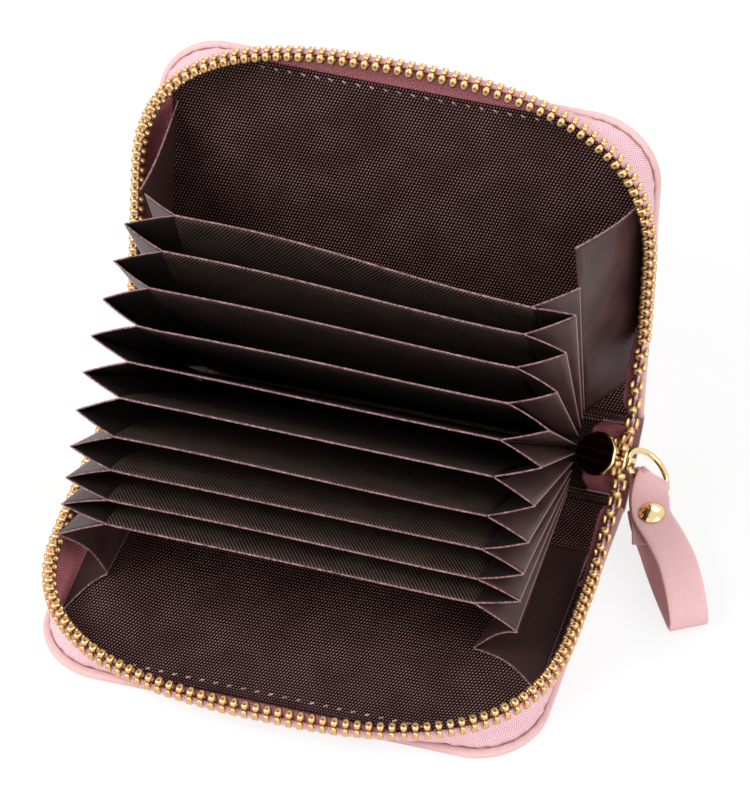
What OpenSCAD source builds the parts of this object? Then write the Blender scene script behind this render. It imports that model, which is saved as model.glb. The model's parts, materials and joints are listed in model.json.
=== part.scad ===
// Zip-around card wallet with a ten-leaf accordion of pockets, standing open.
// The lower cover lies flat on the table, the upper cover leans back from the spine,
// and the leaves fan out between them. Origin: the middle of the lower cover's
// underside. X runs along the spine, -Y is the mouth, +Z is up. Millimetres.

/* [Wallet] */
// Width along the spine
wallet_w = 110; // [106:1:116]
// Depth of each cover from the spine fold to the mouth edge
cover_h = 73; // [71:0.5:76]
// Thickness over both covers when zipped shut
closed_t = 20; // [20:0.5:22]
// Radius of the two mouth corners of each cover
corner_r = 15; // [13:1:17]
// Angle between the two covers as the wallet stands open
open_angle = 107; // [100:1:110]

/* [Cover layers] */
// Thickness of the outer leather
leather_t = 1.2; // [1:0.1:1.4]
// Thickness of the stiffening board
board_t = 0.7; // [0.5:0.1:0.8]
// Thickness of the woven lining
lining_t = 0.4; // [0.3:0.1:0.5]
// Distance of the board's edge from the leather's edge
board_inset = 7; // [6.5:0.5:9]
// Distance of the lining's edge from the leather's edge
lining_inset = 3.5; // [3:0.5:5]

/* [Accordion] */
// Depth of a leaf from its base to its free edge
leaf_h = 66; // [62:0.5:66]
// Width of the flat part of a leaf
leaf_w = 80; // [76:1:82]
// Thickness of a leaf, two layers of lining
leaf_t = 0.5; // [0.4:0.1:0.6]
// Distance of the leaf bases from the spine fold
leaf_base = 2; // [1.8:0.1:2.5]
// Half width over the gusset folds at their free ends
tip_x = 49.5; // [48:0.5:50]
// Half width over the gusset folds at the base
tip_base_x = 43.5; // [43:0.5:45]
// Thickness of the gusset cloth
gusset_t = 0.22; // [0.15:0.01:0.25]

/* [Zip] */
// Pitch of the teeth along one stringer
pitch = 2.4; // [2.3:0.05:2.6]
// Thickness of a tooth along the chain
tooth_t = 0.95; // [0.8:0.05:1]
// Half width of the zip line on its free side
zip_x = 56.5; // [56:0.5:58]
// Half width of the zip line on the slider's side, which the slider draws in
zip_in_x = 55.6; // [55.4:0.1:56.5]
// Depth at which the zip line starts to round its corner
zip_corner_y = 42; // [40:1:46]
// Depth of the zip line in the middle of the mouth
zip_mouth_y = 79.5; // [78:0.5:82]
// Exponent of the rounded zip corner
zip_power = 2.6; // [2.2:0.1:3]
// Thickness of the woven tape
tape_t = 0.4; // [0.3:0.05:0.45]

/* [Slider and pull] */
// Length of the slider
slider_l = 10; // [9:0.5:11]
// Width of the slider over its shoulders
slider_w = 9.4; // [9:0.2:10]
// Turn of the slider in from the spine line
slider_yaw = 25; // [20:1:30]
// Diameter of the pull ring's wire
wire_d = 1.3; // [1.1:0.1:1.4]
// Radius of the pull ring's arc
ring_r = 5.3; // [5:0.1:5.6]
// Straight part of the ring between its arc and its bar
ring_leg = 2.4; // [1.6:0.2:3]
// Width of the pull strap
strap_w = 8.2; // [8:0.2:8.6]
// Thickness of the pull strap
strap_t = 1; // [0.9:0.1:1.2]
// Diameter of the rivet's cap
rivet_d = 5.6; // [5:0.2:6]

/* [Hidden] */
$fn = 48;

// Colours of the pieces
leather_col = [0.91, 0.75, 0.74];
strap_col = [0.86, 0.68, 0.67];
tape_col = [0.93, 0.72, 0.75];
lining_col = [0.16, 0.11, 0.10];
leaf_col = [0.12, 0.09, 0.09];
gusset_col = [0.30, 0.22, 0.22];
board_col = [0.75, 0.72, 0.66];
gold_col = [0.85, 0.70, 0.42];

// The spine panel swings about the lower fold and the upper cover about the upper fold
half_turn = open_angle / 2;
fold_r = 1;
origin_y = cover_h / 2;
lower_fold = [0, 0, fold_r];
upper_fold = [0, 0, closed_t - fold_r];
spine_l = closed_t - 2 * fold_r;
mid_z = closed_t / 2;
fold_gap = 1.25;

// Angle of each leaf above the lower cover, from the top leaf down, as photographed
leaf_angles = [73, 67, 61, 55, 49.5, 44, 38, 33, 28.5, 25];
leaf_count = len(leaf_angles);
leaf_pitch = 1.3;
wing_angle = 80;
flap_angle = 19;

// Rest pose
module at_rest() translate([0, origin_y, 0]) children();
module swing(fold, turn) translate(fold) rotate([-turn, 0, 0]) translate(-fold) children();
module on_spine() at_rest() swing(lower_fold, half_turn) children();
module on_upper() on_spine() swing(upper_fold, half_turn)
    translate([0, 0, closed_t]) mirror([0, 0, 1]) children();

// Point p turned by -turn about the X axis through fold
function swung(p, fold, turn) = [
    p[0],
    fold[1] + (p[1] - fold[1]) * cos(turn) + (p[2] - fold[2]) * sin(turn),
    fold[2] - (p[1] - fold[1]) * sin(turn) + (p[2] - fold[2]) * cos(turn)];
function mirrored(p) = [p[0], p[1], closed_t - p[2]];
function unit(v) = v / norm(v);
function clamp01(t) = max(0, min(1, t));

// Running length along a list of points, and the value of one coordinate at a length
function lengths(p) = [for (i = 0, s = 0; i < len(p);
    s = s + (i < len(p) - 1 ? norm(p[i + 1] - p[i]) : 0), i = i + 1) s];
function keyed(keys, p, k) = [for (i = [0:len(p) - 1]) [keys[i], p[i][k]]];

// A closed tube through rings of equal length, with flat ends
module ring_tube(rings) {
    n = len(rings);
    m = len(rings[0]);
    points = [for (r = rings) for (p = r) p];
    sides = [for (i = [0:n - 2]) for (j = [0:m - 1])
        let (a = i * m + j, b = i * m + (j + 1) % m, c = a + m, d = b + m)
        each j < m / 2 ? [[a, b, d], [a, d, c]] : [[a, b, c], [b, d, c]]];
    first = [for (j = [1:m - 2]) [0, j + 1, j]];
    last = [for (j = [1:m - 2]) [(n - 1) * m, (n - 1) * m + j, (n - 1) * m + j + 1]];
    polyhedron(points, concat(sides, first, last), convexity = 8);
}

// A thin cloth panel over four corners, its thickness lying on the side that lift points to
module cloth(a, b, c, d, lift) {
    turned_over = lift * cross(b - a, c - b) < 0;
    p = turned_over ? [a, d, c, b] : [a, b, c, d];
    polyhedron(concat(p, [for (q = p) q + lift]), [
        [0, 1, 2], [0, 2, 3], [4, 6, 5], [4, 7, 6],
        [0, 4, 5], [0, 5, 1], [1, 5, 6], [1, 6, 2],
        [2, 6, 7], [2, 7, 3], [3, 7, 4], [3, 4, 0]]);
}

// Outline of a cover, drawn in by inset on its three free sides
module cover_plan(inset, back) {
    side = wallet_w / 2 - inset;
    mouth = cover_h - inset;
    square_y = cover_h - corner_r;
    translate([-side, -square_y]) square([2 * side, square_y - back]);
    translate([-wallet_w / 2 + corner_r, -mouth]) square([wallet_w - 2 * corner_r, mouth - back]);
    for (x = [-1, 1]) translate([x * (wallet_w / 2 - corner_r), -square_y])
        circle(r = corner_r - inset);
}

module cover_leather() color(leather_col)
    linear_extrude(leather_t) cover_plan(0, fold_gap);

module cover_board() color(board_col)
    translate([0, 0, leather_t]) linear_extrude(board_t) cover_plan(board_inset, fold_gap + 1);

lining_z = leather_t + board_t;
module cover_lining() color(lining_col)
    translate([0, 0, lining_z]) linear_extrude(lining_t) cover_plan(lining_inset, fold_gap);

module lower_cover_leather() at_rest() cover_leather();
module lower_cover_board() at_rest() cover_board();
module lower_cover_lining() at_rest() cover_lining();
module upper_cover_leather() on_upper() cover_leather();
module upper_cover_board() on_upper() cover_board();
module upper_cover_lining() on_upper() cover_lining();

// The spine leather, round along both folds, and its lining
module spine_leather() color(leather_col) on_spine() rotate([0, 90, 0])
    linear_extrude(wallet_w, center = true) {
        for (z = [fold_r, closed_t - fold_r]) translate([-z, 0]) circle(r = fold_r);
        translate([-closed_t + fold_r, -0.2]) square([spine_l, fold_r + 0.2]);
    }
spine_lining_y = 0.65;
module spine_lining() color(lining_col) on_spine()
    translate([-wallet_w / 2 + lining_inset, -spine_lining_y, 2 * fold_r + 0.2])
        cube([wallet_w - 2 * lining_inset, lining_t, closed_t - 4 * fold_r - 0.4]);

// The strip that the bases of the leaves are sewn to
module leaf_base_tape() color(leaf_col) on_spine()
    translate([-leaf_w / 2, -leaf_base + 0.35, 3.4])
        cube([leaf_w, leaf_base - 0.35 - spine_lining_y - 0.05, closed_t - 6.8]);

// Plan of the zip line on the lower cover, from the slider round to the left end.
// The slider stands at the spine, turned in by slider_yaw, and a bend leads to the side.
slider_x = 49.4;
slider_y = -9.4;
mouth_x = slider_x + slider_l / 2 * cos(slider_yaw);
mouth_y = slider_y - slider_l / 2 * sin(slider_yaw);
bend_r = (zip_in_x - mouth_x) / (1 - sin(slider_yaw));
bend_y = mouth_y - bend_r * cos(slider_yaw);
chain_start = 3.6;
left_end_y = -6;
steps = 12;
corner_steps = 26;
bend_steps = 10;
zip_slider = [for (t = [0:2]) let (s = -chain_start + (chain_start + slider_l / 2) * t / 2)
    [slider_x + s * cos(slider_yaw), slider_y - s * sin(slider_yaw)]];
zip_bend = [for (i = [1:bend_steps]) let (a = (90 - slider_yaw) * (1 - i / bend_steps))
    [zip_in_x - bend_r + bend_r * cos(a), bend_y + bend_r * sin(a)]];
zip_side = [for (i = [1:steps]) [zip_in_x, bend_y + (-zip_corner_y - bend_y) * i / steps]];
function corner_at(i, x) = let (a = 90 * i / corner_steps)
    [x * pow(max(cos(a), 0), 2 / zip_power),
     -zip_corner_y - (zip_mouth_y - zip_corner_y) * pow(sin(a), 2 / zip_power)];
zip_corner = [for (i = [1:corner_steps]) corner_at(i, zip_in_x)];
zip_left = [for (i = [corner_steps - 1:-1:1]) corner_at(i, -zip_x)];
zip_left_side = [for (i = [0:steps])
    [-zip_x, -zip_corner_y + (left_end_y + zip_corner_y) * i / steps]];
zip_line = concat(zip_slider, zip_bend, zip_side, zip_corner, zip_left, zip_left_side);
zip_s = lengths(zip_line);
zip_length = zip_s[len(zip_s) - 1];

// Foot of the tape on the leather, point for point beside the zip line
foot_inset = 1.6;
foot_x = wallet_w / 2 - foot_inset;
foot_r = corner_r - foot_inset;
foot_cy = cover_h - corner_r;
foot_side = foot_cy - zip_corner_y;
foot_arc = foot_r * PI / 2;
foot_flat = wallet_w / 2 - corner_r;
corner_s = lengths(concat([zip_side[steps - 1]], zip_corner));
function foot_at(s) = s < foot_side ? [foot_x, -zip_corner_y - s]
    : s < foot_side + foot_arc
        ? let (a = (s - foot_side) / foot_r * 180 / PI)
          [foot_flat + foot_r * cos(a), -foot_cy - foot_r * sin(a)]
        : [foot_flat - (s - foot_side - foot_arc), -foot_cy - foot_r];
foot_total = foot_side + foot_arc + foot_flat;
foot_corner = [for (i = [1:corner_steps])
    foot_at(foot_total * corner_s[i] / corner_s[corner_steps])];
foot_back = 4;
foot_slider = [for (p = zip_slider)
    [p[0] + foot_back * sin(slider_yaw) - 0.4, p[1] + foot_back * cos(slider_yaw)]];
foot_start = foot_slider[2];
foot_bend = [for (i = [1:bend_steps]) let (t = i / bend_steps)
    [foot_start[0] + (foot_x - foot_start[0]) * (1 - cos(90 * t)),
     foot_start[1] + (bend_y - foot_start[1]) * t]];
foot_side_line = [for (p = zip_side) [foot_x, p[1]]];
foot_left = [for (i = [corner_steps - 1:-1:1]) [-foot_corner[i - 1][0], foot_corner[i - 1][1]]];
foot_left_side = [for (p = zip_left_side) [-foot_x, p[1]]];
foot_line = concat(foot_slider, foot_bend, foot_side_line, foot_corner, foot_left,
    foot_left_side);

// Share by which the stringer's end has already turned with the spine, by length from its end
turned_share = [[0, 1], [8.6, 1], [11, 0.75], [14.5, 0.42], [19, 0.15], [24, 0]];
function turned(s) = lookup(s, turned_share);
// Distance by which each row stands off the middle of the chain, forced apart by the slider
function parted(s) = lookup(s, [[0, 0], [4.1, 0], [6.3, 1.5], [12, 1.5], [24, 0]]);
end_s = 27;
split_at = len([for (s = zip_s) if (s < end_s) 1]);

// A point of the lower or the upper stringer, from its place in the closed wallet
function on_lower_zip(p, share) = swung(p, lower_fold, half_turn * share) + [0, origin_y, 0];
function on_upper_zip(p, share) = swung(
    swung(mirrored(p), upper_fold, half_turn * (1 - share)), lower_fold, half_turn)
    + [0, origin_y, 0];

function zip_point(s) = [lookup(s, keyed(zip_s, zip_line, 0)), lookup(s, keyed(zip_s, zip_line, 1))];
function zip_heading(s) = let (d = zip_point(s + 0.6) - zip_point(s - 0.6)) atan2(d[1], d[0]);
function outward(i) = let (a = zip_line[max(i - 1, 0)], b = zip_line[min(i + 1, len(zip_line) - 1)],
    t = unit(b - a)) [-t[1], t[0]];

// Middle of the tape at point i: flange under the lining, foot, swell, upright neck and edge.
// At the slider the tape runs straight through and its foot lies on top of the lining.
tape_top = mid_z - 1.6;
neck_z = mid_z - 3.4;
flange_l = 4.6;
in_slider = 3;
on_lining = bend_steps + 3;
function tape_row(i) = let (
        out = outward(i), foot = foot_line[i], top = zip_line[i],
        part = parted(zip_s[i]), straight = clamp01(1 - (i - in_slider) / bend_steps),
        swell = foot + (top - foot) * (0.75 + 0.25 * straight),
        base = foot - out * (i < split_at ? 1 : flange_l),
        z = (i < on_lining ? lining_z + lining_t : leather_t) + 0.05 + tape_t / 2)
    [[base[0], base[1], z], [foot[0], foot[1], z],
     [swell[0], swell[1], mid_z * 0.45],
     [top[0], top[1], neck_z - part], [top[0], top[1], tape_top - part]];
last_point = len(zip_line) - 1;
function lower_row(i) = [for (p = tape_row(i)) on_lower_zip(p, turned(zip_s[i]))];
function upper_row(i) = [for (p = tape_row(i)) on_upper_zip(p, turned(zip_s[i]))];

// A thin band through rows of points, half of its thickness on either side of them
function band_ring(before, row, after, last = 4) = let (
        run = [for (k = [1:last]) unit(row[k] - row[k - 1])],
        off = [for (k = [0:last]) tape_t / 2 * unit(cross(
            run[max(k - 1, 0)] + run[min(k, last - 1)], after[k] - before[k]))])
    concat([for (k = [0:last]) row[k] - off[k]], [for (k = [last:-1:0]) row[k] + off[k]]);
module tape(from, to, upper) color(tape_col) ring_tube([for (k = [from:to])
    let (i = upper ? from + to - k : k, step = upper ? -1 : 1,
        rows = [for (j = [i - step, i, i + step]) let (n = min(max(j, 0), last_point))
            upper ? upper_row(n) : lower_row(n)])
    band_ring(rows[0], rows[1], rows[2])]);
module lower_zip_tape() tape(split_at, last_point, false);
module lower_zip_tape_end() tape(0, split_at, false);
module upper_zip_tape() tape(split_at, last_point, true);
module upper_zip_tape_end() tape(0, split_at, true);

// One tooth: two legs clamped over the tape's edge and a head that reaches past the middle
leg_d = 3.2;
slot_w = tape_t / 2 + 0.1;
end_slot_w = tape_t / 2 + 0.35;
module tooth(slot) rotate([90, 0, 90]) linear_extrude(tooth_t, center = true) polygon([
    [-1.5, -leg_d], [-slot, -leg_d], [-slot, -1.5], [slot, -1.5], [slot, -leg_d],
    [1.5, -leg_d], [1.5, -1], [1.05, -0.6], [1.05, 0.5], [0.6, 0.9],
    [-0.6, 0.9], [-1.05, 0.5], [-1.05, -0.6], [-1.5, -1]]);
tooth_count = floor((zip_length - 3) / pitch);
function tooth_s(i, shift) = 1 + (i + shift) * pitch;
module placed_tooth(s) translate([zip_point(s)[0], zip_point(s)[1], mid_z - parted(s)])
    rotate([0, 0, zip_heading(s)]) tooth(s < end_s ? end_slot_w : slot_w);
module lower_teeth(ended) color(gold_col) for (i = [0:tooth_count - 1])
    let (s = tooth_s(i, 0)) if ((s < end_s) == ended)
        at_rest() swing(lower_fold, half_turn * turned(s)) placed_tooth(s);
module upper_teeth(ended) color(gold_col) for (i = [0:tooth_count - 1])
    let (s = tooth_s(i, 0.5)) if ((s < end_s) == ended)
        on_spine() swing(upper_fold, half_turn * (1 - turned(s)))
            translate([0, 0, closed_t]) mirror([0, 0, 1]) placed_tooth(s);
module lower_zip_teeth() lower_teeth(false);
module lower_zip_teeth_end() lower_teeth(true);
module upper_zip_teeth() upper_teeth(false);
module upper_zip_teeth_end() upper_teeth(true);

// Metal stop clamped on the left end of each stringer
stop_l = 2.2;
module zip_stop() color(gold_col) translate([-zip_x, left_end_y - 1.4, mid_z - 3])
    difference() {
        translate([-1.6, -stop_l / 2, 0]) cube([3.2, stop_l, 2.6]);
        translate([-slot_w, -stop_l / 2 - 1, -1]) cube([2 * slot_w, stop_l + 2, 2.45]);
    }
module lower_zip_stop() at_rest() zip_stop();
module upper_zip_stop() on_upper() zip_stop();

// The leaves: each stands on its own base line along the spine panel
function base_z(i) = mid_z + leaf_pitch * ((leaf_count + 1) / 2 - i);
function base_at(i) = swung([0, -leaf_base, base_z(i)], lower_fold, half_turn);
function leaf_angle(i) = i < 1 ? wing_angle : i > leaf_count ? flap_angle : leaf_angles[i - 1];
module on_leaf(i) at_rest() translate(base_at(i)) rotate([-leaf_angle(i), 0, 0]) children();
module divider(i) color(leaf_col) on_leaf(i)
    translate([-leaf_w / 2, -leaf_h, -leaf_t / 2]) cube([leaf_w, leaf_h, leaf_t]);

// The gusset cloth on both sides of leaf i: half of each fold above and below it.
// Fold k lies between leaf k and leaf k + 1, in the plane halfway between them.
fold_h = leaf_h + 0.5;
function fold_point(k, x, reach) = let (
        mean = (leaf_angle(k) + leaf_angle(k + 1)) / 2,
        base = swung([0, -leaf_base, base_z(k + 0.5)], lower_fold, half_turn))
    [x, base[1] - reach * cos(mean) + origin_y, base[2] + reach * sin(mean)];
function leaf_point(i, x, reach, lift) = let (a = leaf_angle(i), base = base_at(i))
    [x, base[1] - reach * cos(a) + lift * sin(a) + origin_y,
     base[2] + reach * sin(a) + lift * cos(a)];
gusset_start = 5;
outer_tip_x = 47.5;
outer_fold_h = 61;
module gusset_half(i, above, side) {
    k = above ? i - 1 : i;
    away = above ? 1 : -1;
    start = leaf_w / 2 + 0.03;
    root = leaf_t / 4;
    lift = [0, sin(leaf_angle(i)), cos(leaf_angle(i))] * -away * gusset_t * 0.5;
    nudge = [0, sin(leaf_angle(i)), cos(leaf_angle(i))] * -away * 0.04;
    a = leaf_point(i, side * start, gusset_start, away * (root + gusset_t * 0.25));
    b = leaf_point(i, side * start, leaf_h, away * (root + gusset_t * 0.25));
    c = k == 0 ? fold_point(0, side * outer_tip_x, outer_fold_h) + nudge
        : fold_point(k, side * tip_x, fold_h) + nudge;
    d = fold_point(k, side * tip_base_x, gusset_start) + nudge;
    cloth(a, b, c, d, lift);
}
module gusset(i) color(gusset_col) for (side = [-1, 1]) for (above = [true, false])
    gusset_half(i, above, side);

// The last panels of the gussets, from the outer folds to the covers.
// Places on a cover are given as x, distance from the spine fold and height above the table face.
function lower_spot(x, reach, height) = [x, origin_y - reach, height];
function upper_spot(x, reach, height) =
    swung(swung([x, -reach, closed_t - height], upper_fold, half_turn), lower_fold, half_turn)
    + [0, origin_y, 0];
module upper_wing(side, fold_x, fold_reach, cover_reach) {
    near = [side * 0.15, 0.1, 0.1];
    a = fold_point(0, side * tip_base_x, gusset_start) + near;
    b = fold_point(0, side * fold_x, fold_reach) + near;
    c = upper_spot(side * 51, cover_reach, lining_z + lining_t + 0.15);
    d = upper_spot(side * 51, side > 0 ? 16 : 8, lining_z + lining_t + 0.15);
    cloth(a, b, c, d, [side * 0.2, 0, 0]);
}
module lower_wing(side, fold_x, fold_reach, cover_reach) {
    top = lining_z + lining_t;
    a = fold_point(leaf_count, side * (tip_base_x + 0.4), gusset_start) - [0, 0.1, 0.3];
    b = fold_point(leaf_count, side * (tip_x + 0.2), fold_h) - [0, 0.1, 0.3];
    c = lower_spot(side * fold_x, fold_reach, top + 1);
    near = side > 0 ? 16 : 8;
    d = lower_spot(side * 42, near, top + 0.5);
    e = lower_spot(side * 51.5, cover_reach, top + 0.2);
    f = lower_spot(side * 51.5, near, top + 0.2);
    cloth(d, c, b, a, [0, 0, 0.2]);
    under = [0, 0, -0.05];
    cloth(d + under, c + under, e + under, f + under, [0, 0, -0.15]);
}
module upper_left_wing() color(gusset_col) upper_wing(-1, 48, 62, 56);
module upper_right_wing() color(gusset_col) upper_wing(1, 47.7, 74, 55);
module lower_left_wing() color(gusset_col) lower_wing(-1, 45, 48, 60);
module lower_right_wing() color(gusset_col) lower_wing(1, 35.5, 47.5, 55);

// The slider: local X points to its mouth, local Y out of the wallet, Z across the chain
plate_t = 0.9;
channel_h = 3.3;
plate_y = channel_h / 2;
tail_w = 7.6;
module on_slider() on_spine() translate([slider_x, slider_y, mid_z])
    rotate([0, 0, -slider_yaw]) children();
module slider_plate(length) rotate([-90, 0, 0]) linear_extrude(plate_t)
    intersection() {
        translate([-slider_l / 2, -slider_w / 2]) square([length, slider_w]);
        union() {
            translate([-slider_l / 2 + tail_w / 2, 0]) circle(r = tail_w / 2);
            translate([slider_l / 2 - 4.5, 0]) scale(1) circle(r = slider_w / 2);
            translate([-slider_l / 2 + tail_w / 2, -tail_w / 2]) square([length - tail_w, tail_w]);
        }
    }
module slider_body() color(gold_col) on_slider() {
    translate([0, plate_y, 0]) slider_plate(slider_l);
    translate([0, -plate_y - plate_t, 0]) slider_plate(slider_l);
    // Post between the plates that parts the two rows of teeth
    translate([slider_l / 2 - 2.1, -plate_y - 0.1, -0.45]) cube([1.3, channel_h + 0.2, 0.9]);
    // Guide rails along both edges, open for the tape
    for (z = [-1, 1]) for (y = [-1, 1])
        translate([-slider_l / 2 + 1.5, y * (plate_y - 0.5) - 0.55, z * 3.5 - 0.25])
            cube([4, 1.1, 0.5]);
}
bridge_w = 1.4;
bridge_t = 0.7;
eye_h = 2.9;
eye_from = -2.2;
eye_to = slider_l / 2 + 0.6;
eye_slope = 1.3;
plate_top = plate_y + plate_t;
eye_top = plate_top + eye_h;
module slider_bridge() color(gold_col) on_slider()
    linear_extrude(bridge_w, center = true) difference() {
        polygon([[eye_from - bridge_t, plate_top], [eye_from - bridge_t, eye_top + bridge_t - 0.4],
            [eye_from, eye_top + bridge_t], [eye_to - eye_slope + 0.3, eye_top + bridge_t],
            [eye_to + bridge_t, eye_top - eye_slope + 0.3], [eye_to + bridge_t, plate_top - 0.6],
            [slider_l / 2 + 0.05, plate_top - 0.6], [slider_l / 2 + 0.05, plate_top]]);
        polygon([[eye_from, plate_top - 1], [eye_from, eye_top], [eye_to - eye_slope, eye_top],
            [eye_to, eye_top - eye_slope], [eye_to, plate_top + 0.4],
            [slider_l / 2 - 1, plate_top + 0.4], [slider_l / 2 - 1, plate_top]]);
    }

// The ring hangs in the bridge. It is drawn with its bar along X and its arc up Y.
ring_bar = unit([0.72, 0.21, -0.66]);
ring_up = unit([-0.27, 0.96, 0.01]);
ring_center = [58.9, 3.7 + origin_y, 8.8];
bar_center = ring_center - ring_leg * ring_up;
ring_normal = cross(ring_bar, ring_up);
module on_ring() multmatrix([
    [ring_bar[0], ring_up[0], ring_normal[0], ring_center[0]],
    [ring_bar[1], ring_up[1], ring_normal[1], ring_center[1]],
    [ring_bar[2], ring_up[2], ring_normal[2], ring_center[2]],
    [0, 0, 0, 1]]) children();
module pull_ring() color(gold_col) on_ring() {
    intersection() {
        rotate_extrude() translate([ring_r, 0]) circle(d = wire_d);
        translate([-2 * ring_r, 0, -wire_d]) cube([4 * ring_r, 2 * ring_r, 2 * wire_d]);
    }
    for (x = [-1, 1]) {
        translate([x * ring_r, 0, 0]) rotate([90, 0, 0]) cylinder(h = ring_leg, d = wire_d);
        translate([x * ring_r, -ring_leg, 0]) sphere(d = wire_d + 0.1);
    }
    translate([-ring_r, -ring_leg, 0]) rotate([0, 90, 0]) cylinder(h = 2 * ring_r, d = wire_d);
}

// Centre line of the strap: from its free tail, round the ring's bar, over the loop and
// back under the rivet. Each place is the distance from the bar, the shift to the right
// and the height above the table.
strap_heading = unit([0.488, -0.873, 0]);
strap_side = unit([0.873, 0.488, 0]);
function strap_place(p) = [bar_center[0], bar_center[1], 0]
    + p[0] * strap_heading + p[1] * strap_side + [0, 0, p[2]];
turn_r = wire_d / 2 + 0.2 + strap_t / 2;
turn_x = unit(strap_heading - (strap_heading * ring_bar) * ring_bar);
turn_y = cross(turn_x, ring_bar);
strap_tail = [[15.5, -3, 6.7], [13, -2.4, 7.7], [10, -1.8, 8.25], [6, -1.3, 8.2]];
strap_turn = [for (a = [-75:-33:-273])
    bar_center + 0.5 * ring_bar + turn_r * (cos(a) * turn_x + sin(a) * turn_y)];
strap_loop = [[4.5, -0.4, 10], [10, -1.5, 9.6], [16, -0.4, 9.7], [23, 0.6, 9.6],
    [28.5, 0.7, 8.6], [33, 0.5, 6.6], [35.2, 0.3, 4.4], [35.4, 0.1, 2.6], [33.8, 0, 1.3],
    [30, -0.2, 0.85], [24, -0.6, 0.9], [19, -1.1, 2.5], [16, -1.5, 4.6], [13.5, -1.9, 6.2],
    [10, -2.1, 6.9], [6.5, -1.8, 7]];
strap_line = concat([for (p = strap_tail) strap_place(p)], strap_turn,
    [for (p = strap_loop) strap_place(p)]);
function smooth(p, i, t) = let (
        a = p[max(i - 1, 0)], b = p[i], c = p[i + 1], d = p[min(i + 2, len(p) - 1)])
    0.5 * (2 * b + (c - a) * t + (2 * a - 5 * b + 4 * c - d) * t * t
        + (3 * b - a - 3 * c + d) * t * t * t);
strap_path = [for (i = [0:len(strap_line) - 2]) for (t = [0, 0.5]) smooth(strap_line, i, t),
    strap_line[len(strap_line) - 1]];
function strap_across(p) = let (
        away = (p - bar_center) * strap_heading, t = clamp01((away - 1) / 6))
    unit(ring_bar * (1 - t) + strap_side * t);
function strap_ring(i) = let (
        p = strap_path[i], q = strap_path[min(i + 1, len(strap_path) - 1)],
        o = strap_path[max(i - 1, 0)], along = unit(q - o),
        lean = strap_across(p), across = unit(lean - (lean * along) * along),
        up = cross(along, across), w = across * strap_w / 2, h = up * strap_t / 2)
    [p - w - h, p - w + h, p + w + h, p + w - h];
rivet_place = strap_place([10, -1.5, 9.6]);
rivet_across = strap_across(rivet_place);
rivet_along = unit(strap_heading - (strap_heading * rivet_across) * rivet_across);
rivet_up = cross(rivet_along, rivet_across);
module on_rivet() multmatrix([
    [rivet_across[0], -rivet_along[0], rivet_up[0], rivet_place[0]],
    [rivet_across[1], -rivet_along[1], rivet_up[1], rivet_place[1]],
    [rivet_across[2], -rivet_along[2], rivet_up[2], rivet_place[2]],
    [0, 0, 0, 1]]) children();
post_r = 0.9;
post_l = 5.6;
module pull_strap() color(strap_col) difference() {
    ring_tube([for (i = [0:len(strap_path) - 1]) strap_ring(i)]);
    on_rivet() translate([0, 0, -post_l]) cylinder(h = post_l + 3, r = post_r);
}
cap_z = strap_t / 2 + 0.2;
dome_r = 4.2;
dome_h = 1.1;
module rivet_cap() color(gold_col) on_rivet() translate([0, 0, cap_z]) intersection() {
    cylinder(h = dome_h, d = rivet_d);
    translate([0, 0, dome_h - dome_r]) sphere(r = dome_r);
}
module rivet_post() color(gold_col) on_rivet()
    translate([0, 0, cap_z - post_l + 0.8]) cylinder(h = post_l - 0.8, r = post_r);
module rivet_back() color(gold_col) on_rivet()
    translate([0, 0, cap_z - post_l]) cylinder(h = 0.8, d = 5);

lower_cover_leather();
lower_cover_board();
lower_cover_lining();
lower_zip_tape();
lower_zip_tape_end();
lower_zip_teeth();
lower_zip_teeth_end();
lower_zip_stop();
lower_left_wing();
lower_right_wing();
upper_cover_leather();
upper_cover_board();
upper_cover_lining();
upper_zip_tape();
upper_zip_tape_end();
upper_zip_teeth();
upper_zip_teeth_end();
upper_zip_stop();
upper_left_wing();
upper_right_wing();
spine_leather();
spine_lining();
leaf_base_tape();
for (i = [1:leaf_count]) divider(i);
for (i = [1:leaf_count]) gusset(i);
slider_body();
slider_bridge();
pull_ring();
pull_strap();
rivet_cap();
rivet_post();
rivet_back();
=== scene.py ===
# %% [markdown]
# A small zip-around card wallet of pale pink leather, standing open so that its ten
# accordion leaves show. This file dresses the solid model: every cloth, leather and metal
# piece is rebuilt here at full detail, in place, and rides on the body that carries it.
# All lengths below are in millimetres; they become metres when a mesh is made.

# %% Load the solid model as the frame
import json
import math

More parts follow.
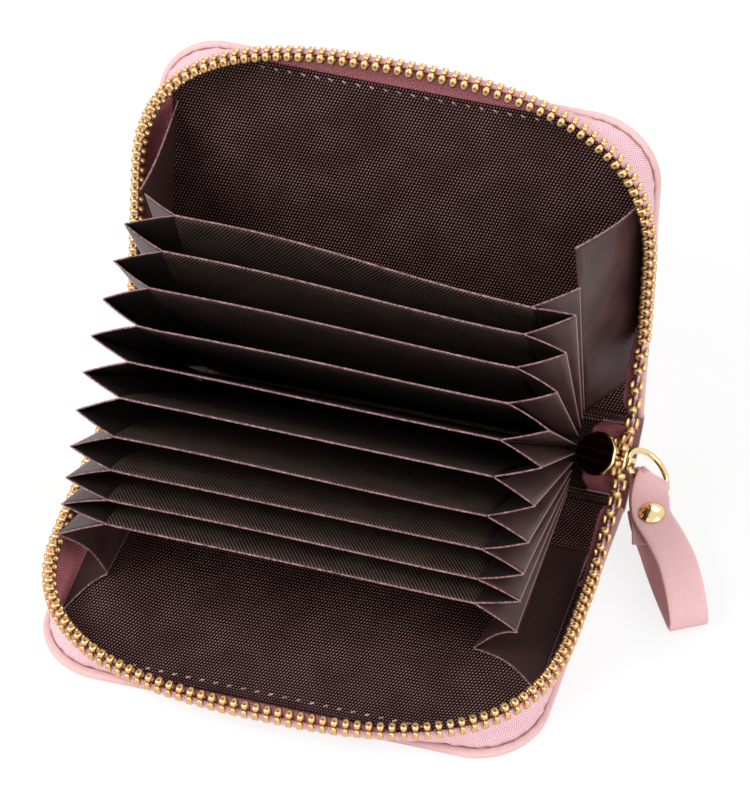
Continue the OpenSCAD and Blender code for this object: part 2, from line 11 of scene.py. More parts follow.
import bmesh
import bpy
import numpy as np
from mathutils import Matrix, Vector
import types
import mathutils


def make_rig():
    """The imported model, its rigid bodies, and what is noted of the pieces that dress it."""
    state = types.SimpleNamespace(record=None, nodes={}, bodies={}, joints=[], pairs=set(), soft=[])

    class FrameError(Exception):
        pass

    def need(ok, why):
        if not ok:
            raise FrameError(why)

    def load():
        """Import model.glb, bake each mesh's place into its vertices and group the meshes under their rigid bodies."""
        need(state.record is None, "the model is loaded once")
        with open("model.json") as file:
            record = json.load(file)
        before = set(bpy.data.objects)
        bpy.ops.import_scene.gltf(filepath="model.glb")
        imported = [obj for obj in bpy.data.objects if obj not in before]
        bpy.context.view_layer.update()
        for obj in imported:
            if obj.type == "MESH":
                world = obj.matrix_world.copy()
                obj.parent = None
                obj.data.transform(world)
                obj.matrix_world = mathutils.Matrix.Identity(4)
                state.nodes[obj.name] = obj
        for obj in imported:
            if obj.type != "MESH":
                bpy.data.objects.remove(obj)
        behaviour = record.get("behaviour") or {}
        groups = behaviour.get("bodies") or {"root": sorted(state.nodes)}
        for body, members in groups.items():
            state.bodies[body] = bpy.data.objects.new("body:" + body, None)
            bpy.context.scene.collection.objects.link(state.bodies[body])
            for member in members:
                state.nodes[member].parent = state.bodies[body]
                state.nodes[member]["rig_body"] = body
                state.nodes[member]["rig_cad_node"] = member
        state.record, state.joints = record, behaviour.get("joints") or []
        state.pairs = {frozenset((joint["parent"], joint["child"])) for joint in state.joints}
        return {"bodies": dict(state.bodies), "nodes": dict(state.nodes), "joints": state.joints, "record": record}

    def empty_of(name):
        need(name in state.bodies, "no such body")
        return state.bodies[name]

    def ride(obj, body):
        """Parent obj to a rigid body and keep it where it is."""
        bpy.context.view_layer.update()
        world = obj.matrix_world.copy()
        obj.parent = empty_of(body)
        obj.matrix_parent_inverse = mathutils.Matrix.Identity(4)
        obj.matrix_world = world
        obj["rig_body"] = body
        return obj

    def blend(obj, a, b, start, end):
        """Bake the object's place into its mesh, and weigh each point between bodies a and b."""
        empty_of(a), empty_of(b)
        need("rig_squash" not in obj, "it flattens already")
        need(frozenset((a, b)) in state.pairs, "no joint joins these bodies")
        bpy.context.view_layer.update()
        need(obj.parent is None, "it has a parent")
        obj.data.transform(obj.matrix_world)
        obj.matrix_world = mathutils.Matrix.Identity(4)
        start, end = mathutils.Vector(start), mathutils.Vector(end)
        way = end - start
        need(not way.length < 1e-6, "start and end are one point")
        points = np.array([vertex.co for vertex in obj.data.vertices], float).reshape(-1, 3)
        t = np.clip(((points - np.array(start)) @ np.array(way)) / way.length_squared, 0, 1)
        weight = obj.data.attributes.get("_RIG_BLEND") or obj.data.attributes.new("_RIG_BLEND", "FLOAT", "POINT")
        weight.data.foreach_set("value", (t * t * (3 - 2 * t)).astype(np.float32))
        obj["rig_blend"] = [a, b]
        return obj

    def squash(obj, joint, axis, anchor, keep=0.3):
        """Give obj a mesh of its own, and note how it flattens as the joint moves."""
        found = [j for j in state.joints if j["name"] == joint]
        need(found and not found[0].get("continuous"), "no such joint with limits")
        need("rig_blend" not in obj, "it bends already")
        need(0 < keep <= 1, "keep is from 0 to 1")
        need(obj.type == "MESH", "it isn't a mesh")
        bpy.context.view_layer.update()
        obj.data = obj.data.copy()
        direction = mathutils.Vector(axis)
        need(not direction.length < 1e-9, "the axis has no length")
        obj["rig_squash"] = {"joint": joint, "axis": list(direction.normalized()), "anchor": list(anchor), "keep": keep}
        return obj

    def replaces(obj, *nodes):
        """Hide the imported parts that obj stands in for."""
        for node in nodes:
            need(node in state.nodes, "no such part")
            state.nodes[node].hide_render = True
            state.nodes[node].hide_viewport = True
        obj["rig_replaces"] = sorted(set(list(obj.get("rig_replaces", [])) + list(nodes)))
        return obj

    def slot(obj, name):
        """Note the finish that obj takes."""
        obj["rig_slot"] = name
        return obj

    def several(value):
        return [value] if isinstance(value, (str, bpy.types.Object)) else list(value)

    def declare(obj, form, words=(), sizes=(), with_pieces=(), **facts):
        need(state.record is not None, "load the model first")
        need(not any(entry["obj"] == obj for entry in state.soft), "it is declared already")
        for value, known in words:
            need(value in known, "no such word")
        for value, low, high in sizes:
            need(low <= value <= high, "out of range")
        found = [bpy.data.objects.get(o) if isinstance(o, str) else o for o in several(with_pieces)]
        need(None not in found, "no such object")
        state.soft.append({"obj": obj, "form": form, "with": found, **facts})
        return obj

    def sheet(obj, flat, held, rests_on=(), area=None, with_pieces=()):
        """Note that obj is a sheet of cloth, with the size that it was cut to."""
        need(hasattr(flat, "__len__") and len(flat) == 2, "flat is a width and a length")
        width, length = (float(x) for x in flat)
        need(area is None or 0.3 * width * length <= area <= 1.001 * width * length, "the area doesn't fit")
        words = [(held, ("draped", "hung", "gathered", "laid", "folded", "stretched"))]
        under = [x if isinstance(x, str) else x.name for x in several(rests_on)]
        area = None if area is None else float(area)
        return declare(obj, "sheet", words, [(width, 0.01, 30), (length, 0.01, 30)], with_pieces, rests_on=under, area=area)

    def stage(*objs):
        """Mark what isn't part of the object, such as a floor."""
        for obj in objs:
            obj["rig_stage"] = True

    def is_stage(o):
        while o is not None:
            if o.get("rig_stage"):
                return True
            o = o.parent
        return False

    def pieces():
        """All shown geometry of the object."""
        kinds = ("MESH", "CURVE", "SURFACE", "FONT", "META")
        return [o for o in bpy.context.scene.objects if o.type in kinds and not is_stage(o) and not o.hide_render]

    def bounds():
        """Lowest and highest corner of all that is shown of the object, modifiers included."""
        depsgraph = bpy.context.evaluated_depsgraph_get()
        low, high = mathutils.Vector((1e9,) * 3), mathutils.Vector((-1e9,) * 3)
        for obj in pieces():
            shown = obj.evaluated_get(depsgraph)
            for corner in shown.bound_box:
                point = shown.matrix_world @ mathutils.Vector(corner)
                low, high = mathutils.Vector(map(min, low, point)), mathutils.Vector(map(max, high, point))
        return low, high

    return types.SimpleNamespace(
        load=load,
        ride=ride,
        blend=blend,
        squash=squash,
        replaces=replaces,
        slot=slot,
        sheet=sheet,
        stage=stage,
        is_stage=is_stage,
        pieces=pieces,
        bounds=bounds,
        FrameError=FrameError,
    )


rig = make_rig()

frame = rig.load()
solid_lo, solid_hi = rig.bounds()
MM = 0.001
print("solid box in mm:", [round((b - a) * 1000, 1) for a, b in zip(solid_lo, solid_hi)])

# %% [markdown]
# The camera stands where the photographer stood: in front and to the right, looking down at
# almost 49 degrees, with a long lens, so that parallel edges stay nearly parallel. It could
# be aimed with a constraint, but a plain matrix gives the small roll of the photograph too.

# %% Camera
CAM_AZ, CAM_EL, CAM_ROLL = map(math.radians, (19.902, 48.859, -3.866))
CAM_TARGET = Vector((7.435, 16.5, 43.793)) * MM
CAM_DISTANCE, PX_PER_MM, LONG_SIDE_PX = 1500, 4.82, 797
back = Vector((math.sin(CAM_AZ) * math.cos(CAM_EL), -math.cos(CAM_AZ) * math.cos(CAM_EL),
               math.sin(CAM_EL)))
right = Vector((math.cos(CAM_AZ), math.sin(CAM_AZ), 0))
up = back.cross(right)
right, up = (right * math.cos(CAM_ROLL) + up * math.sin(CAM_ROLL),
             up * math.cos(CAM_ROLL) - right * math.sin(CAM_ROLL))
camera = bpy.data.objects.new("camera", bpy.data.cameras.new("camera"))
bpy.context.scene.collection.objects.link(camera)
camera.data.sensor_width = 36
camera.data.lens = 36 * PX_PER_MM * CAM_DISTANCE / LONG_SIDE_PX
camera.data.clip_start, camera.data.clip_end = 0.01, 20
camera.matrix_world = Matrix.Translation(CAM_TARGET + back * CAM_DISTANCE * MM) @ Matrix(
    (right, up, back)).transposed().to_4x4()
bpy.context.scene.camera = camera
print("lens in mm:", round(camera.data.lens, 1))

# %% [markdown]
# The wallet is easiest to describe zipped shut: two flat covers 20 mm apart, joined by the
# spine. Each point is then turned about the two spine folds into the open pose of the
# photograph. Doing the turning with one function, instead of modelling on slanted planes,
# keeps every piece exactly where the solid model has it.

# %% From the closed wallet to the open one
COVER_W, COVER_H, CLOSED_T, CORNER_R = 110.0, 73.0, 20.0, 15.0
HALF_TURN = 53.5
ORIGIN_Y = COVER_H / 2
FOLD_R = 1.0
LOWER_FOLD, UPPER_FOLD = (0.0, FOLD_R), (0.0, CLOSED_T - FOLD_R)
MID_Z = CLOSED_T / 2
FOLD_GAP = 1.25


def pts(*rows):
    return np.array(rows, float)


def swung(p, fold, turn):
    """Points p turned by -turn degrees about the X axis through fold (y, z)."""
    p, a = np.asarray(p, float), np.radians(turn)
    y, z = p[..., 1] - fold[0], p[..., 2] - fold[1]
    return np.stack([p[..., 0] + 0 * y, fold[0] + y * np.cos(a) + z * np.sin(a),
                     fold[1] - y * np.sin(a) + z * np.cos(a)], -1)


def at_rest(p):
    """From a fold at the origin to where the wallet stands."""
    return np.asarray(p, float) + np.array([0, ORIGIN_Y, 0])


def on_lower(p, share=0.0):
    """A point of the lower cover, or of the spine where share is 1."""
    return at_rest(swung(p, LOWER_FOLD, HALF_TURN * share))


def on_spine(p):
    """A point of the closed wallet that belongs to the spine."""
    return at_rest(swung(p, LOWER_FOLD, HALF_TURN))


def on_upper(p, share=0.0):
    """A point given as on the lower cover, mirrored to the upper one, or to the spine."""
    p = np.array(p, float)
    p[..., 2] = CLOSED_T - p[..., 2]
    return on_spine(swung(p, UPPER_FOLD, HALF_TURN * (1 - share)))


def unit(v):
    v = np.asarray(v, float)
    return v / np.maximum(np.linalg.norm(v, axis=-1, keepdims=True), 1e-12)


def smooth(a, b, x):
    """0 up to a, 1 from b, and an even S between them."""
    t = np.clip((np.asarray(x, float) - a) / (b - a), 0, 1)
    return t * t * (3 - 2 * t)


# %% [markdown]
# Most pieces here are sheets: a grid of points for the upper face, another for the lower
# face, and a wall round the edge. One helper turns two such grids into a closed mesh with a
# UV map in millimetres, so that a weave keeps its real scale, and with a "face" attribute
# that tells the two sides apart for the materials.

# %% Mesh helpers
def make_object(name, verts, faces, uv=None, side=None, smooth_shaded=True):
    """A mesh from points in mm, with its cloth map and its face attribute."""
    mesh = bpy.data.meshes.new(name)
    mesh.from_pydata((np.asarray(verts, float) * MM).tolist(), [],
                     [tuple(int(i) for i in f) for f in faces])
    mesh.update()
    if uv is not None:
        layer = mesh.uv_layers.new(name="cloth")
        index = np.empty(len(mesh.loops), np.int32)
        mesh.loops.foreach_get("vertex_index", index)
        layer.data.foreach_set("uv", np.asarray(uv, np.float32)[index].ravel())
    if side is not None:
        mesh.attributes.new("face", "FLOAT", "POINT").data.foreach_set(
            "value", np.asarray(side, np.float32))
    outward(mesh)
    mesh.polygons.foreach_set("use_smooth", [smooth_shaded] * len(mesh.polygons))
    obj = bpy.data.objects.new(name, mesh)
    bpy.context.scene.collection.objects.link(obj)
    return obj


def outward(mesh):
    """Turns all faces to the outside."""
    bm = bmesh.new()
    bm.from_mesh(mesh)
    bmesh.ops.recalc_face_normals(bm, faces=bm.faces)
    bm.to_mesh(mesh)
    bm.free()


def grid_faces(nu, nv, first=0, round_u=False, round_v=False):
    faces = []
    for i in range(nu - (not round_u)):
        for j in range(nv - (not round_v)):
            a, b = i * nv + j, i * nv + (j + 1) % nv
            c, d = ((i + 1) % nu) * nv + (j + 1) % nv, ((i + 1) % nu) * nv + j
            faces.append((first + a, first + b, first + c, first + d))
    return faces


def rim(nu, nv):
    """Indices round the edge of a grid, in order."""
    return ([i * nv for i in range(nu)] + [(nu - 1) * nv + j for j in range(1, nv)]
            + [i * nv + nv - 1 for i in range(nu - 2, -1, -1)] + [j for j in range(nv - 2, 0, -1)])


def slab_parts(top, bottom, uv):
    """Vertices, faces, UV and side of a thin closed sheet between two equal grids."""
    nu, nv = top.shape[:2]
    n = nu * nv
    edge = rim(nu, nv)
    faces = grid_faces(nu, nv) + [tuple(reversed(f)) for f in grid_faces(nu, nv, n)]
    faces += [(a, a + n, b + n, b) for a, b in zip(edge, edge[1:] + edge[:1])]
    flat = np.asarray(uv, float).reshape(-1, 2)
    return (np.concatenate([top.reshape(-1, 3), bottom.reshape(-1, 3)]), faces,
            np.concatenate([flat, flat]), np.concatenate([np.zeros(n), np.ones(n)]))


def joined(parts):
    """Several closed shapes as the parts of one mesh."""
    verts, faces, uv, side, n = [], [], [], [], 0
    for v, f, t, s in parts:
        verts.append(v)
        faces += [tuple(i + n for i in face) for face in f]
        uv.append(t)
        side.append(s)
        n += len(v)
    return np.concatenate(verts), faces, np.concatenate(uv), np.concatenate(side)


def slab(name, top, bottom, uv):
    return make_object(name, *slab_parts(top, bottom, uv))


# %% [markdown]
# Nothing that is sewn is quite flat or straight. A few seeded waves give the same small
# unevenness in every run, and a curve through a handful of points gives a smooth line.

# %% Uneven sheets and smooth lines
def ripple(x, y, scale, seed):
    """A soft seeded unevenness between about -1 and 1, for cloth that isn't quite flat."""
    rng = np.random.default_rng(seed)
    total = 0 * (np.asarray(x, float) + np.asarray(y, float))
    for _ in range(5):
        a, b, c = rng.uniform(-1, 1), rng.uniform(-1, 1), rng.uniform(0, 6.28)
        total = total + np.sin((a * x + b * y) * 6.28 / scale + c)
    return total / 5


def curve_through(points, per_span):
    """A smooth curve through points, per_span samples for each span."""
    p = np.asarray(points, float)
    out = []
    for i in range(len(p) - 1):
        a, b, c, d = p[max(i - 1, 0)], p[i], p[i + 1], p[min(i + 2, len(p) - 1)]
        for k in range(per_span):
            t = k / per_span
            out.append(0.5 * (2 * b + (c - a) * t + (2 * a - 5 * b + 4 * c - d) * t * t
                              + (3 * b - a - 3 * c + d) * t ** 3))
    return np.array(out + [p[-1]])


def running_length(p):
    """Length along a line at each of its points."""
    return np.concatenate([[0], np.cumsum(np.linalg.norm(np.diff(p, axis=0), axis=1))])


# %% [markdown]
# There are two classic ways from a profile to a solid: carry it along a path, or turn it
# about an axis. Both give a ring of points for each step, so the same faces close them.

# %% Swept and turned shapes
def sweep_parts(path, across, up_dir, profile, closed=False):
    """A profile of (across, up) points carried along a path."""
    path = np.asarray(path, float)
    prof = np.asarray(profile, float)
    rings = (path[:, None] + prof[None, :, :1] * across[:, None]
             + prof[None, :, 1:] * up_dir[:, None])
    nu, nv = rings.shape[:2]
    faces = grid_faces(nu, nv, 0, closed, True)
    if not closed:
        faces += [tuple(range(nv - 1, -1, -1)), tuple(range((nu - 1) * nv, nu * nv))]
    s = running_length(path)
    girth = np.linspace(0, 1, nv)
    uv = np.stack(np.meshgrid(s, girth, indexing="ij"), -1).reshape(-1, 2)
    return rings.reshape(-1, 3), faces, uv, np.zeros(nu * nv)


def lathe_parts(profile, centre, axis, side_dir, turns=48):
    """A profile of (radius, height) points turned about an axis; its ends lie on the axis."""
    axis, side_dir = unit(axis), unit(side_dir)
    other = np.cross(axis, side_dir)
    prof = np.asarray(profile, float)
    angle = np.arange(turns) / turns * 2 * math.pi
    spoke = np.cos(angle)[:, None] * side_dir + np.sin(angle)[:, None] * other
    inner = prof[1:-1]
    rings = centre + inner[:, None, :1] * spoke[None] + inner[:, None, 1:] * axis
    verts = np.concatenate([rings.reshape(-1, 3), [centre + prof[0, 1] * axis],
                            [centre + prof[-1, 1] * axis]])
    n = len(inner)
    faces = grid_faces(n, turns, 0, False, True)
    for j in range(turns):
        k = (j + 1) % turns
        faces.append((n * turns, k, j))
        faces.append((n * turns + 1, (n - 1) * turns + j, (n - 1) * turns + k))
    return verts, faces, np.zeros((len(verts), 2)), np.zeros(len(verts))


def finish_piece(obj, material, body, slot, replaces=()):
    """Gives a piece its material, its body, its finish slot and the solids it stands for."""
    obj.data.materials.clear()
    obj.data.materials.append(material)
    if body:
        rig.ride(obj, body)
    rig.slot(obj, slot)
    if replaces:
        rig.replaces(obj, *replaces)
    return obj


# %% [markdown]
# Materials are small networks of nodes. Written socket by socket they are long, so a value
# from a node is wrapped in a class whose operators add Math nodes: (u * 3).fract() - 0.5
# reads like the formula it is. Every other node comes from one method, node(), which serves
# the world's light as well.

# %% Shader maths
class Value:
    """One output socket, with arithmetic."""

    def __init__(self, look, socket):
        self.look, self.socket = look, socket

    def math(self, operation, *others):
        return self.look.node("ShaderNodeMath", {"operation": operation},
                              dict(enumerate([self, *others])))

    def __add__(self, o): return self.math("ADD", o)
    __radd__ = __add__
    def __mul__(self, o): return self.math("MULTIPLY", o)
    __rmul__ = __mul__
    def __sub__(self, o): return self.math("SUBTRACT", o)
    def __rsub__(self, o): return self * -1 + o
    def __truediv__(self, o): return self.math("DIVIDE", o)
    def __pow__(self, o): return self.math("POWER", o)
    def abs(self): return self.math("ABSOLUTE")
    def fract(self): return self.math("FRACT")
    def floor(self): return self.math("FLOOR")
    def upto(self, o): return self.math("MINIMUM", o)

    def off_middle(self):
        """How far a value is from the middle of its whole step, 0 to 0.5."""
        return (self.fract() - 0.5).abs()

    def ridge(self):
        """1 in the middle of each whole step and 0 at its ends, as a thread is round."""
        return 1 - self.off_middle() * 2

    def ramp(self, low, high):
        """0 at low, 1 at high, smooth between."""
        return self.look.node("ShaderNodeMapRange", {"interpolation_type": "SMOOTHSTEP"},
                              {"Value": self, "From Min": low, "From Max": high})


# %% [markdown]
# A look is one tree of nodes. For a material, places or the cloth's own U and V go in, and a
# colour, a roughness and a bump come out to a Principled BSDF.

# %% Looks
class Look:
    """A material, or the world, being built."""

    def __init__(self, name, kind=bpy.data.materials):
        self.made = kind.new(name)
        self.made.use_nodes = True
        self.tree = self.made.node_tree
        self.tree.nodes.clear()

    def node(self, kind, settings=None, sockets=None, out=0):
        """A node with its settings; a socket takes a number, a colour or a Value."""
        made = self.tree.nodes.new(kind)
        for key, value in (settings or {}).items():
            setattr(made, key, value)
        found = {s.identifier: s for s in made.inputs}
        for key, value in (sockets or {}).items():
            target = found.get(key) or made.inputs[key]
            if isinstance(value, Value):
                self.tree.links.new(value.socket, target)
            else:
                target.default_value = value
        return Value(self, made.outputs[out]) if len(made.outputs) else None

    def mix(self, share, a, b):
        return self.node("ShaderNodeMix", {"data_type": "RGBA"},
                         {"Factor_Float": share, "A_Color": a, "B_Color": b}, 2)

    def place(self):
        """Object coordinates."""
        return self.node("ShaderNodeTexCoord", out=3)

    def uv(self):
        """The piece's own U and V, in millimetres."""
        own = self.node("ShaderNodeUVMap", {"uv_map": "cloth"})
        parted = self.node("ShaderNodeSeparateXYZ", sockets={0: own})
        return parted, Value(self, parted.socket.node.outputs[1])

    def face(self):
        return self.node("ShaderNodeAttribute", {"attribute_name": "face"}, out=2)

    def noise(self, scale, detail, rough=0.5):
        return self.node("ShaderNodeTexNoise", sockets={
            "Vector": self.place(), "Scale": scale, "Detail": detail, "Roughness": rough})

    def cell_edges(self, scale):
        return self.node("ShaderNodeTexVoronoi", {"feature": "DISTANCE_TO_EDGE"},
                         {"Vector": self.place(), "Scale": scale})

    def bump(self, height, strength, distance_mm):
        return self.node("ShaderNodeBump", sockets={
            "Height": height, "Strength": strength, "Distance": distance_mm * MM})

    def finish(self, colour, roughness, normal, **fixed):
        sockets = {"Base Color": colour, "Roughness": roughness, "Normal": normal}
        sockets.update({k.replace("_", " "): v for k, v in fixed.items()})
        shader = self.node("ShaderNodeBsdfPrincipled", sockets=sockets)
        self.node("ShaderNodeOutputMaterial", sockets={"Surface": shader})
        return self.made


def rgb(r, g, b):
    """A colour as seen on screen, 0 to 255, in the linear values that shaders use."""
    def linear(c):
        c /= 255
        return c / 12.92 if c <= 0.04045 else ((c + 0.055) / 1.055) ** 2.4
    return (linear(r), linear(g), linear(b), 1.0)


# %% [markdown]
# The finishes. Leather is a pale base with a fine pebble grain in its bump. The zip tape is
# a herringbone of pale threads outside and a deeper rose inside, partly its own colour and
# partly painted shade of the inner face. The lining is a dark weave with staggered light
# dots, the leaves a dark twill whose folded edges show lighter yarn. Each pattern reads the
# piece's own U and V in millimetres, so its scale is the real one.

# %% Leather finishes
def leather(name, light, deep, inner, grain_mm=0.8):
    """inner is the colour where the face attribute is 1: the raw side, and on the covers a painted shade line in the
    groove at the seam.
    """
    look = Look(name)
    creases = look.cell_edges(1000 / grain_mm).ramp(0.0, 0.16)
    fine = look.noise(2600, 4)
    cloud = look.noise(90, 3).ramp(0.3, 0.7)
    face = look.mix(cloud * 0.3 + 0.6, deep, light)
    face = look.mix((1 - creases) * 0.25, face, deep)
    colour = look.mix(look.face() * (fine * 0.35 + 0.65), face, inner)
    height = creases * 0.6 + fine * 0.5
    bump = look.bump(height, 0.35, 0.08)
    rough = 0.5 + cloud * 0.06 - creases * 0.04 + look.face() * 0.25
    return look.finish(colour, rough, bump, Specular_IOR_Level=0.3)


# On the covers, the pink leather's inner colour is a painted shade line at the seam.
pink_leather = leather("pink_leather", rgb(230, 194, 192), rgb(214, 172, 170), rgb(96, 50, 48))
strap_leather = leather("strap_leather", rgb(228, 184, 184), rgb(212, 164, 166),
                        rgb(190, 140, 142), 1.1)


# %% [markdown]
# Woven cloth is drawn, not modelled, as its threads are finer than a pixel here. ridge() of
# a length over a pitch repeats one round thread. The same ridge mixes the yarn's two colours
# and drives the bump, so that light and colour agree.

# %% Woven finishes
def tape_weave():
    look = Look("zip_tape_cloth")
    u, v = look.uv()
    band_mm, thread_mm, cross_mm = 1.3, 0.62, 0.42
    band = (v / band_mm).floor()
    lean = (band / 2).fract() * 4 - 1
    wave = look.noise(260, 2) * 0.5
    ridge = ((u + lean * (v - band * band_mm) * 0.9 + wave) / thread_mm).ridge()
    cross = (v / cross_mm).ridge()
    outside = look.mix(ridge.ramp(0.15, 0.75), rgb(214, 156, 168), rgb(246, 214, 219))
    # The inner face is darker: partly the tape's own deeper rose, partly painted shade.
    inside = look.mix((ridge * 0.6 + cross * 0.4).ramp(0.2, 0.8),
                      rgb(128, 52, 60), rgb(232, 154, 162))
    colour = look.mix(look.face(), outside, inside)
    bump = look.bump(ridge * 0.8 + cross * 0.2, 0.55, 0.12)
    return look.finish(colour, 0.72 + ridge * 0.08, bump, Specular_IOR_Level=0.15)


def lining_weave(name, dim, bright):
    look = Look(name)
    u, v = look.uv()
    dot_w, dot_l, stagger = 0.68, 0.74, 0.42
    across = ((u - v * stagger) / dot_w).fract() - 0.5
    along = (v / dot_l).fract() - 0.5
    spot = 1 - (across * across * 2.2 + along * along * 1.15) ** 0.5 * 2
    dots = spot.ramp(0.1, 0.6)
    cloud = look.noise(140, 3).ramp(0.25, 0.75)
    yarn = look.noise(3000, 2)
    light = look.mix(cloud, dim, bright)
    ground = look.mix(yarn, rgb(14, 1, 3), rgb(28, 7, 9))
    colour = look.mix(dots * 0.9, ground, light)
    bump = look.bump(dots, 0.35, 0.08)
    return look.finish(colour, 0.62 - dots * 0.1, bump, Specular_IOR_Level=0.1)


def twill(name, dark, light, pitch, angle, share, rough):
    look = Look(name)
    u, v = look.uv()
    c, s = math.cos(math.radians(angle)), math.sin(math.radians(angle))
    ridge = ((u * c + v * s) / pitch).ridge()
    dash = ((v * c - u * s) / (pitch * 1.9) + (u * c + v * s) / (pitch * 2)).ridge()
    knot = ridge * (0.8 + 0.2 * dash)
    cloud = look.noise(160, 3).ramp(0.25, 0.75)
    ground = look.mix(cloud, dark, tuple(0.82 * a + 0.18 * b for a, b in zip(dark, light)))
    colour = look.mix(knot.ramp(0.32, 0.9) * share, ground, light)
    bump = look.bump(knot, 0.4, 0.07)
    return look.finish(colour, rough, bump, Specular_IOR_Level=0.08)


zip_tape_cloth = tape_weave()
dotted_lining = lining_weave("dotted_lining", rgb(126, 94, 90), rgb(158, 124, 118))
# The spine's lining is the same dotted cloth; this darker copy paints the shade deep inside the spine.
spine_cloth = lining_weave("spine_cloth", rgb(60, 42, 40), rgb(80, 58, 54))
leaf_cloth = twill("leaf_cloth", rgb(8, 3, 3), rgb(104, 86, 80), 0.72, -30, 0.85, 0.7)


def plain_yarn(name, dark, light, rough=0.6):
    look = Look(name)
    spun = look.noise(1800, 3)
    return look.finish(look.mix(spun.ramp(0.3, 0.7), dark, light), rough,
                       look.bump(spun, 0.3, 0.05), Specular_IOR_Level=0.15)


edge_yarn = plain_yarn("edge_yarn", rgb(108, 74, 76), rgb(178, 138, 140))
seam_thread = plain_yarn("seam_thread", rgb(140, 106, 104), rgb(222, 190, 188))
grey_board = plain_yarn("grey_board", rgb(150, 142, 130), rgb(186, 178, 164), 0.85)


# %% [markdown]
# The zip's brass is seen in two golds: duller, worn teeth, and the nearly mirror-like slider,
# ring and rivet. Slow noise varies their tone, fast noise roughens them in fine scratches, and
# the face attribute mixes in a darker colour as painted shade in hollows and under edges.

# %% Metal finishes
def gold(name, colour, shade, rough, wear):
    look = Look(name)
    cloud = look.noise(500, 3).ramp(0.3, 0.7)
    duller = tuple(0.93 * c for c in colour[:3]) + (1.0,)
    # Where the face attribute is set, the skin turns to the shade colour: painted shade in hollows and under edges.
    skin = look.mix(look.face(), look.mix(cloud, colour, duller), shade)
    scratch = look.noise(2200, 2, rough=0.7)
    return look.finish(skin, rough + cloud * 0.06 + scratch * wear, look.bump(scratch, 0.12, 0.02),
                       Metallic=1.0)


tooth_gold = gold("tooth_gold", rgb(232, 190, 136), rgb(128, 80, 40), 0.3, 0.1)
bright_gold = gold("bright_gold", rgb(244, 216, 160), rgb(140, 100, 60), 0.1, 0.06)
print("materials:", len(bpy.data.materials))

# %% [markdown]
# The zip runs round three sides of the wallet, from the slider at the right end of the
# spine to the stops at the left end. Its plan is a short straight piece through the slider,
# a bend, a straight side, and a rounded corner. The foot of the tape follows the leather's
# edge at its own, tighter corner. Both lines are formulas, sampled point for point.

# %% The zip's line and the tape's foot
ZIP_X, ZIP_IN_X, ZIP_CORNER_Y, ZIP_MOUTH_Y, ZIP_POWER = 56.5, 55.6, 42.0, 79.5, 2.6
SLIDER_X, SLIDER_Y, SLIDER_L = 49.4, -9.4, 10.0
YAW = math.radians(25)
CHAIN_START, LEFT_END_Y = 3.6, -6.0
mouth = (SLIDER_X + SLIDER_L / 2 * math.cos(YAW), SLIDER_Y - SLIDER_L / 2 * math.sin(YAW))
BEND_R = (ZIP_IN_X - mouth[0]) / (1 - math.sin(YAW))
BEND_Y = mouth[1] - BEND_R * math.cos(YAW)
FOOT_X, FOOT_R, FOOT_CY = COVER_W / 2 - 1.6, CORNER_R - 1.6, COVER_H - CORNER_R
BENDS, SIDES, CORNERS = 24, 24, 64


def corner_line(x, a):
    """The rounded corner of the zip, from its side to the middle of the mouth."""
    power, depth = 2 / ZIP_POWER, ZIP_MOUTH_Y - ZIP_CORNER_Y
    return np.stack([x * np.maximum(np.cos(a), 0) ** power,
                     -ZIP_CORNER_Y - depth * np.sin(a) ** power], -1)


def foot_line_at(s):
    """The foot of the tape at length s from where the corner of the zip starts."""
    side, arc = FOOT_CY - ZIP_CORNER_Y, FOOT_R * math.pi / 2
    a = np.clip((s - side) / FOOT_R, 0, math.pi / 2)
    x = np.where(s < side, FOOT_X, COVER_W / 2 - CORNER_R + FOOT_R * np.cos(a)
                 - np.maximum(s - side - arc, 0))
    y = np.where(s < side, -ZIP_CORNER_Y - s, -FOOT_CY - FOOT_R * np.sin(a))
    return np.stack([x, y], -1)


# %% Both lines, point for point
through = np.array([[SLIDER_X + s * math.cos(YAW), SLIDER_Y - s * math.sin(YAW)]
                    for s in (-CHAIN_START, 0.7, SLIDER_L / 2)])
bend_a = (math.pi / 2 - YAW) * (1 - np.arange(1, BENDS + 1) / BENDS)
bend = np.stack([ZIP_IN_X - BEND_R + BEND_R * np.cos(bend_a),
                 BEND_Y + BEND_R * np.sin(bend_a)], -1)
side_y = BEND_Y + (-ZIP_CORNER_Y - BEND_Y) * np.arange(1, SIDES + 1) / SIDES
side = np.stack([np.full(SIDES, ZIP_IN_X), side_y], -1)
corner_a = np.arange(1, CORNERS + 1) / CORNERS * math.pi / 2
corner = corner_line(ZIP_IN_X, corner_a)
left_corner = corner_line(-ZIP_X, corner_a[::-1][1:])
left_y = -ZIP_CORNER_Y + (LEFT_END_Y + ZIP_CORNER_Y) * np.arange(SIDES + 1) / SIDES
left_side = np.stack([np.full(SIDES + 1, -ZIP_X), left_y], -1)
ZIP = np.concatenate([through, bend, side, corner, left_corner, left_side])
ZIP_S = running_length(ZIP)

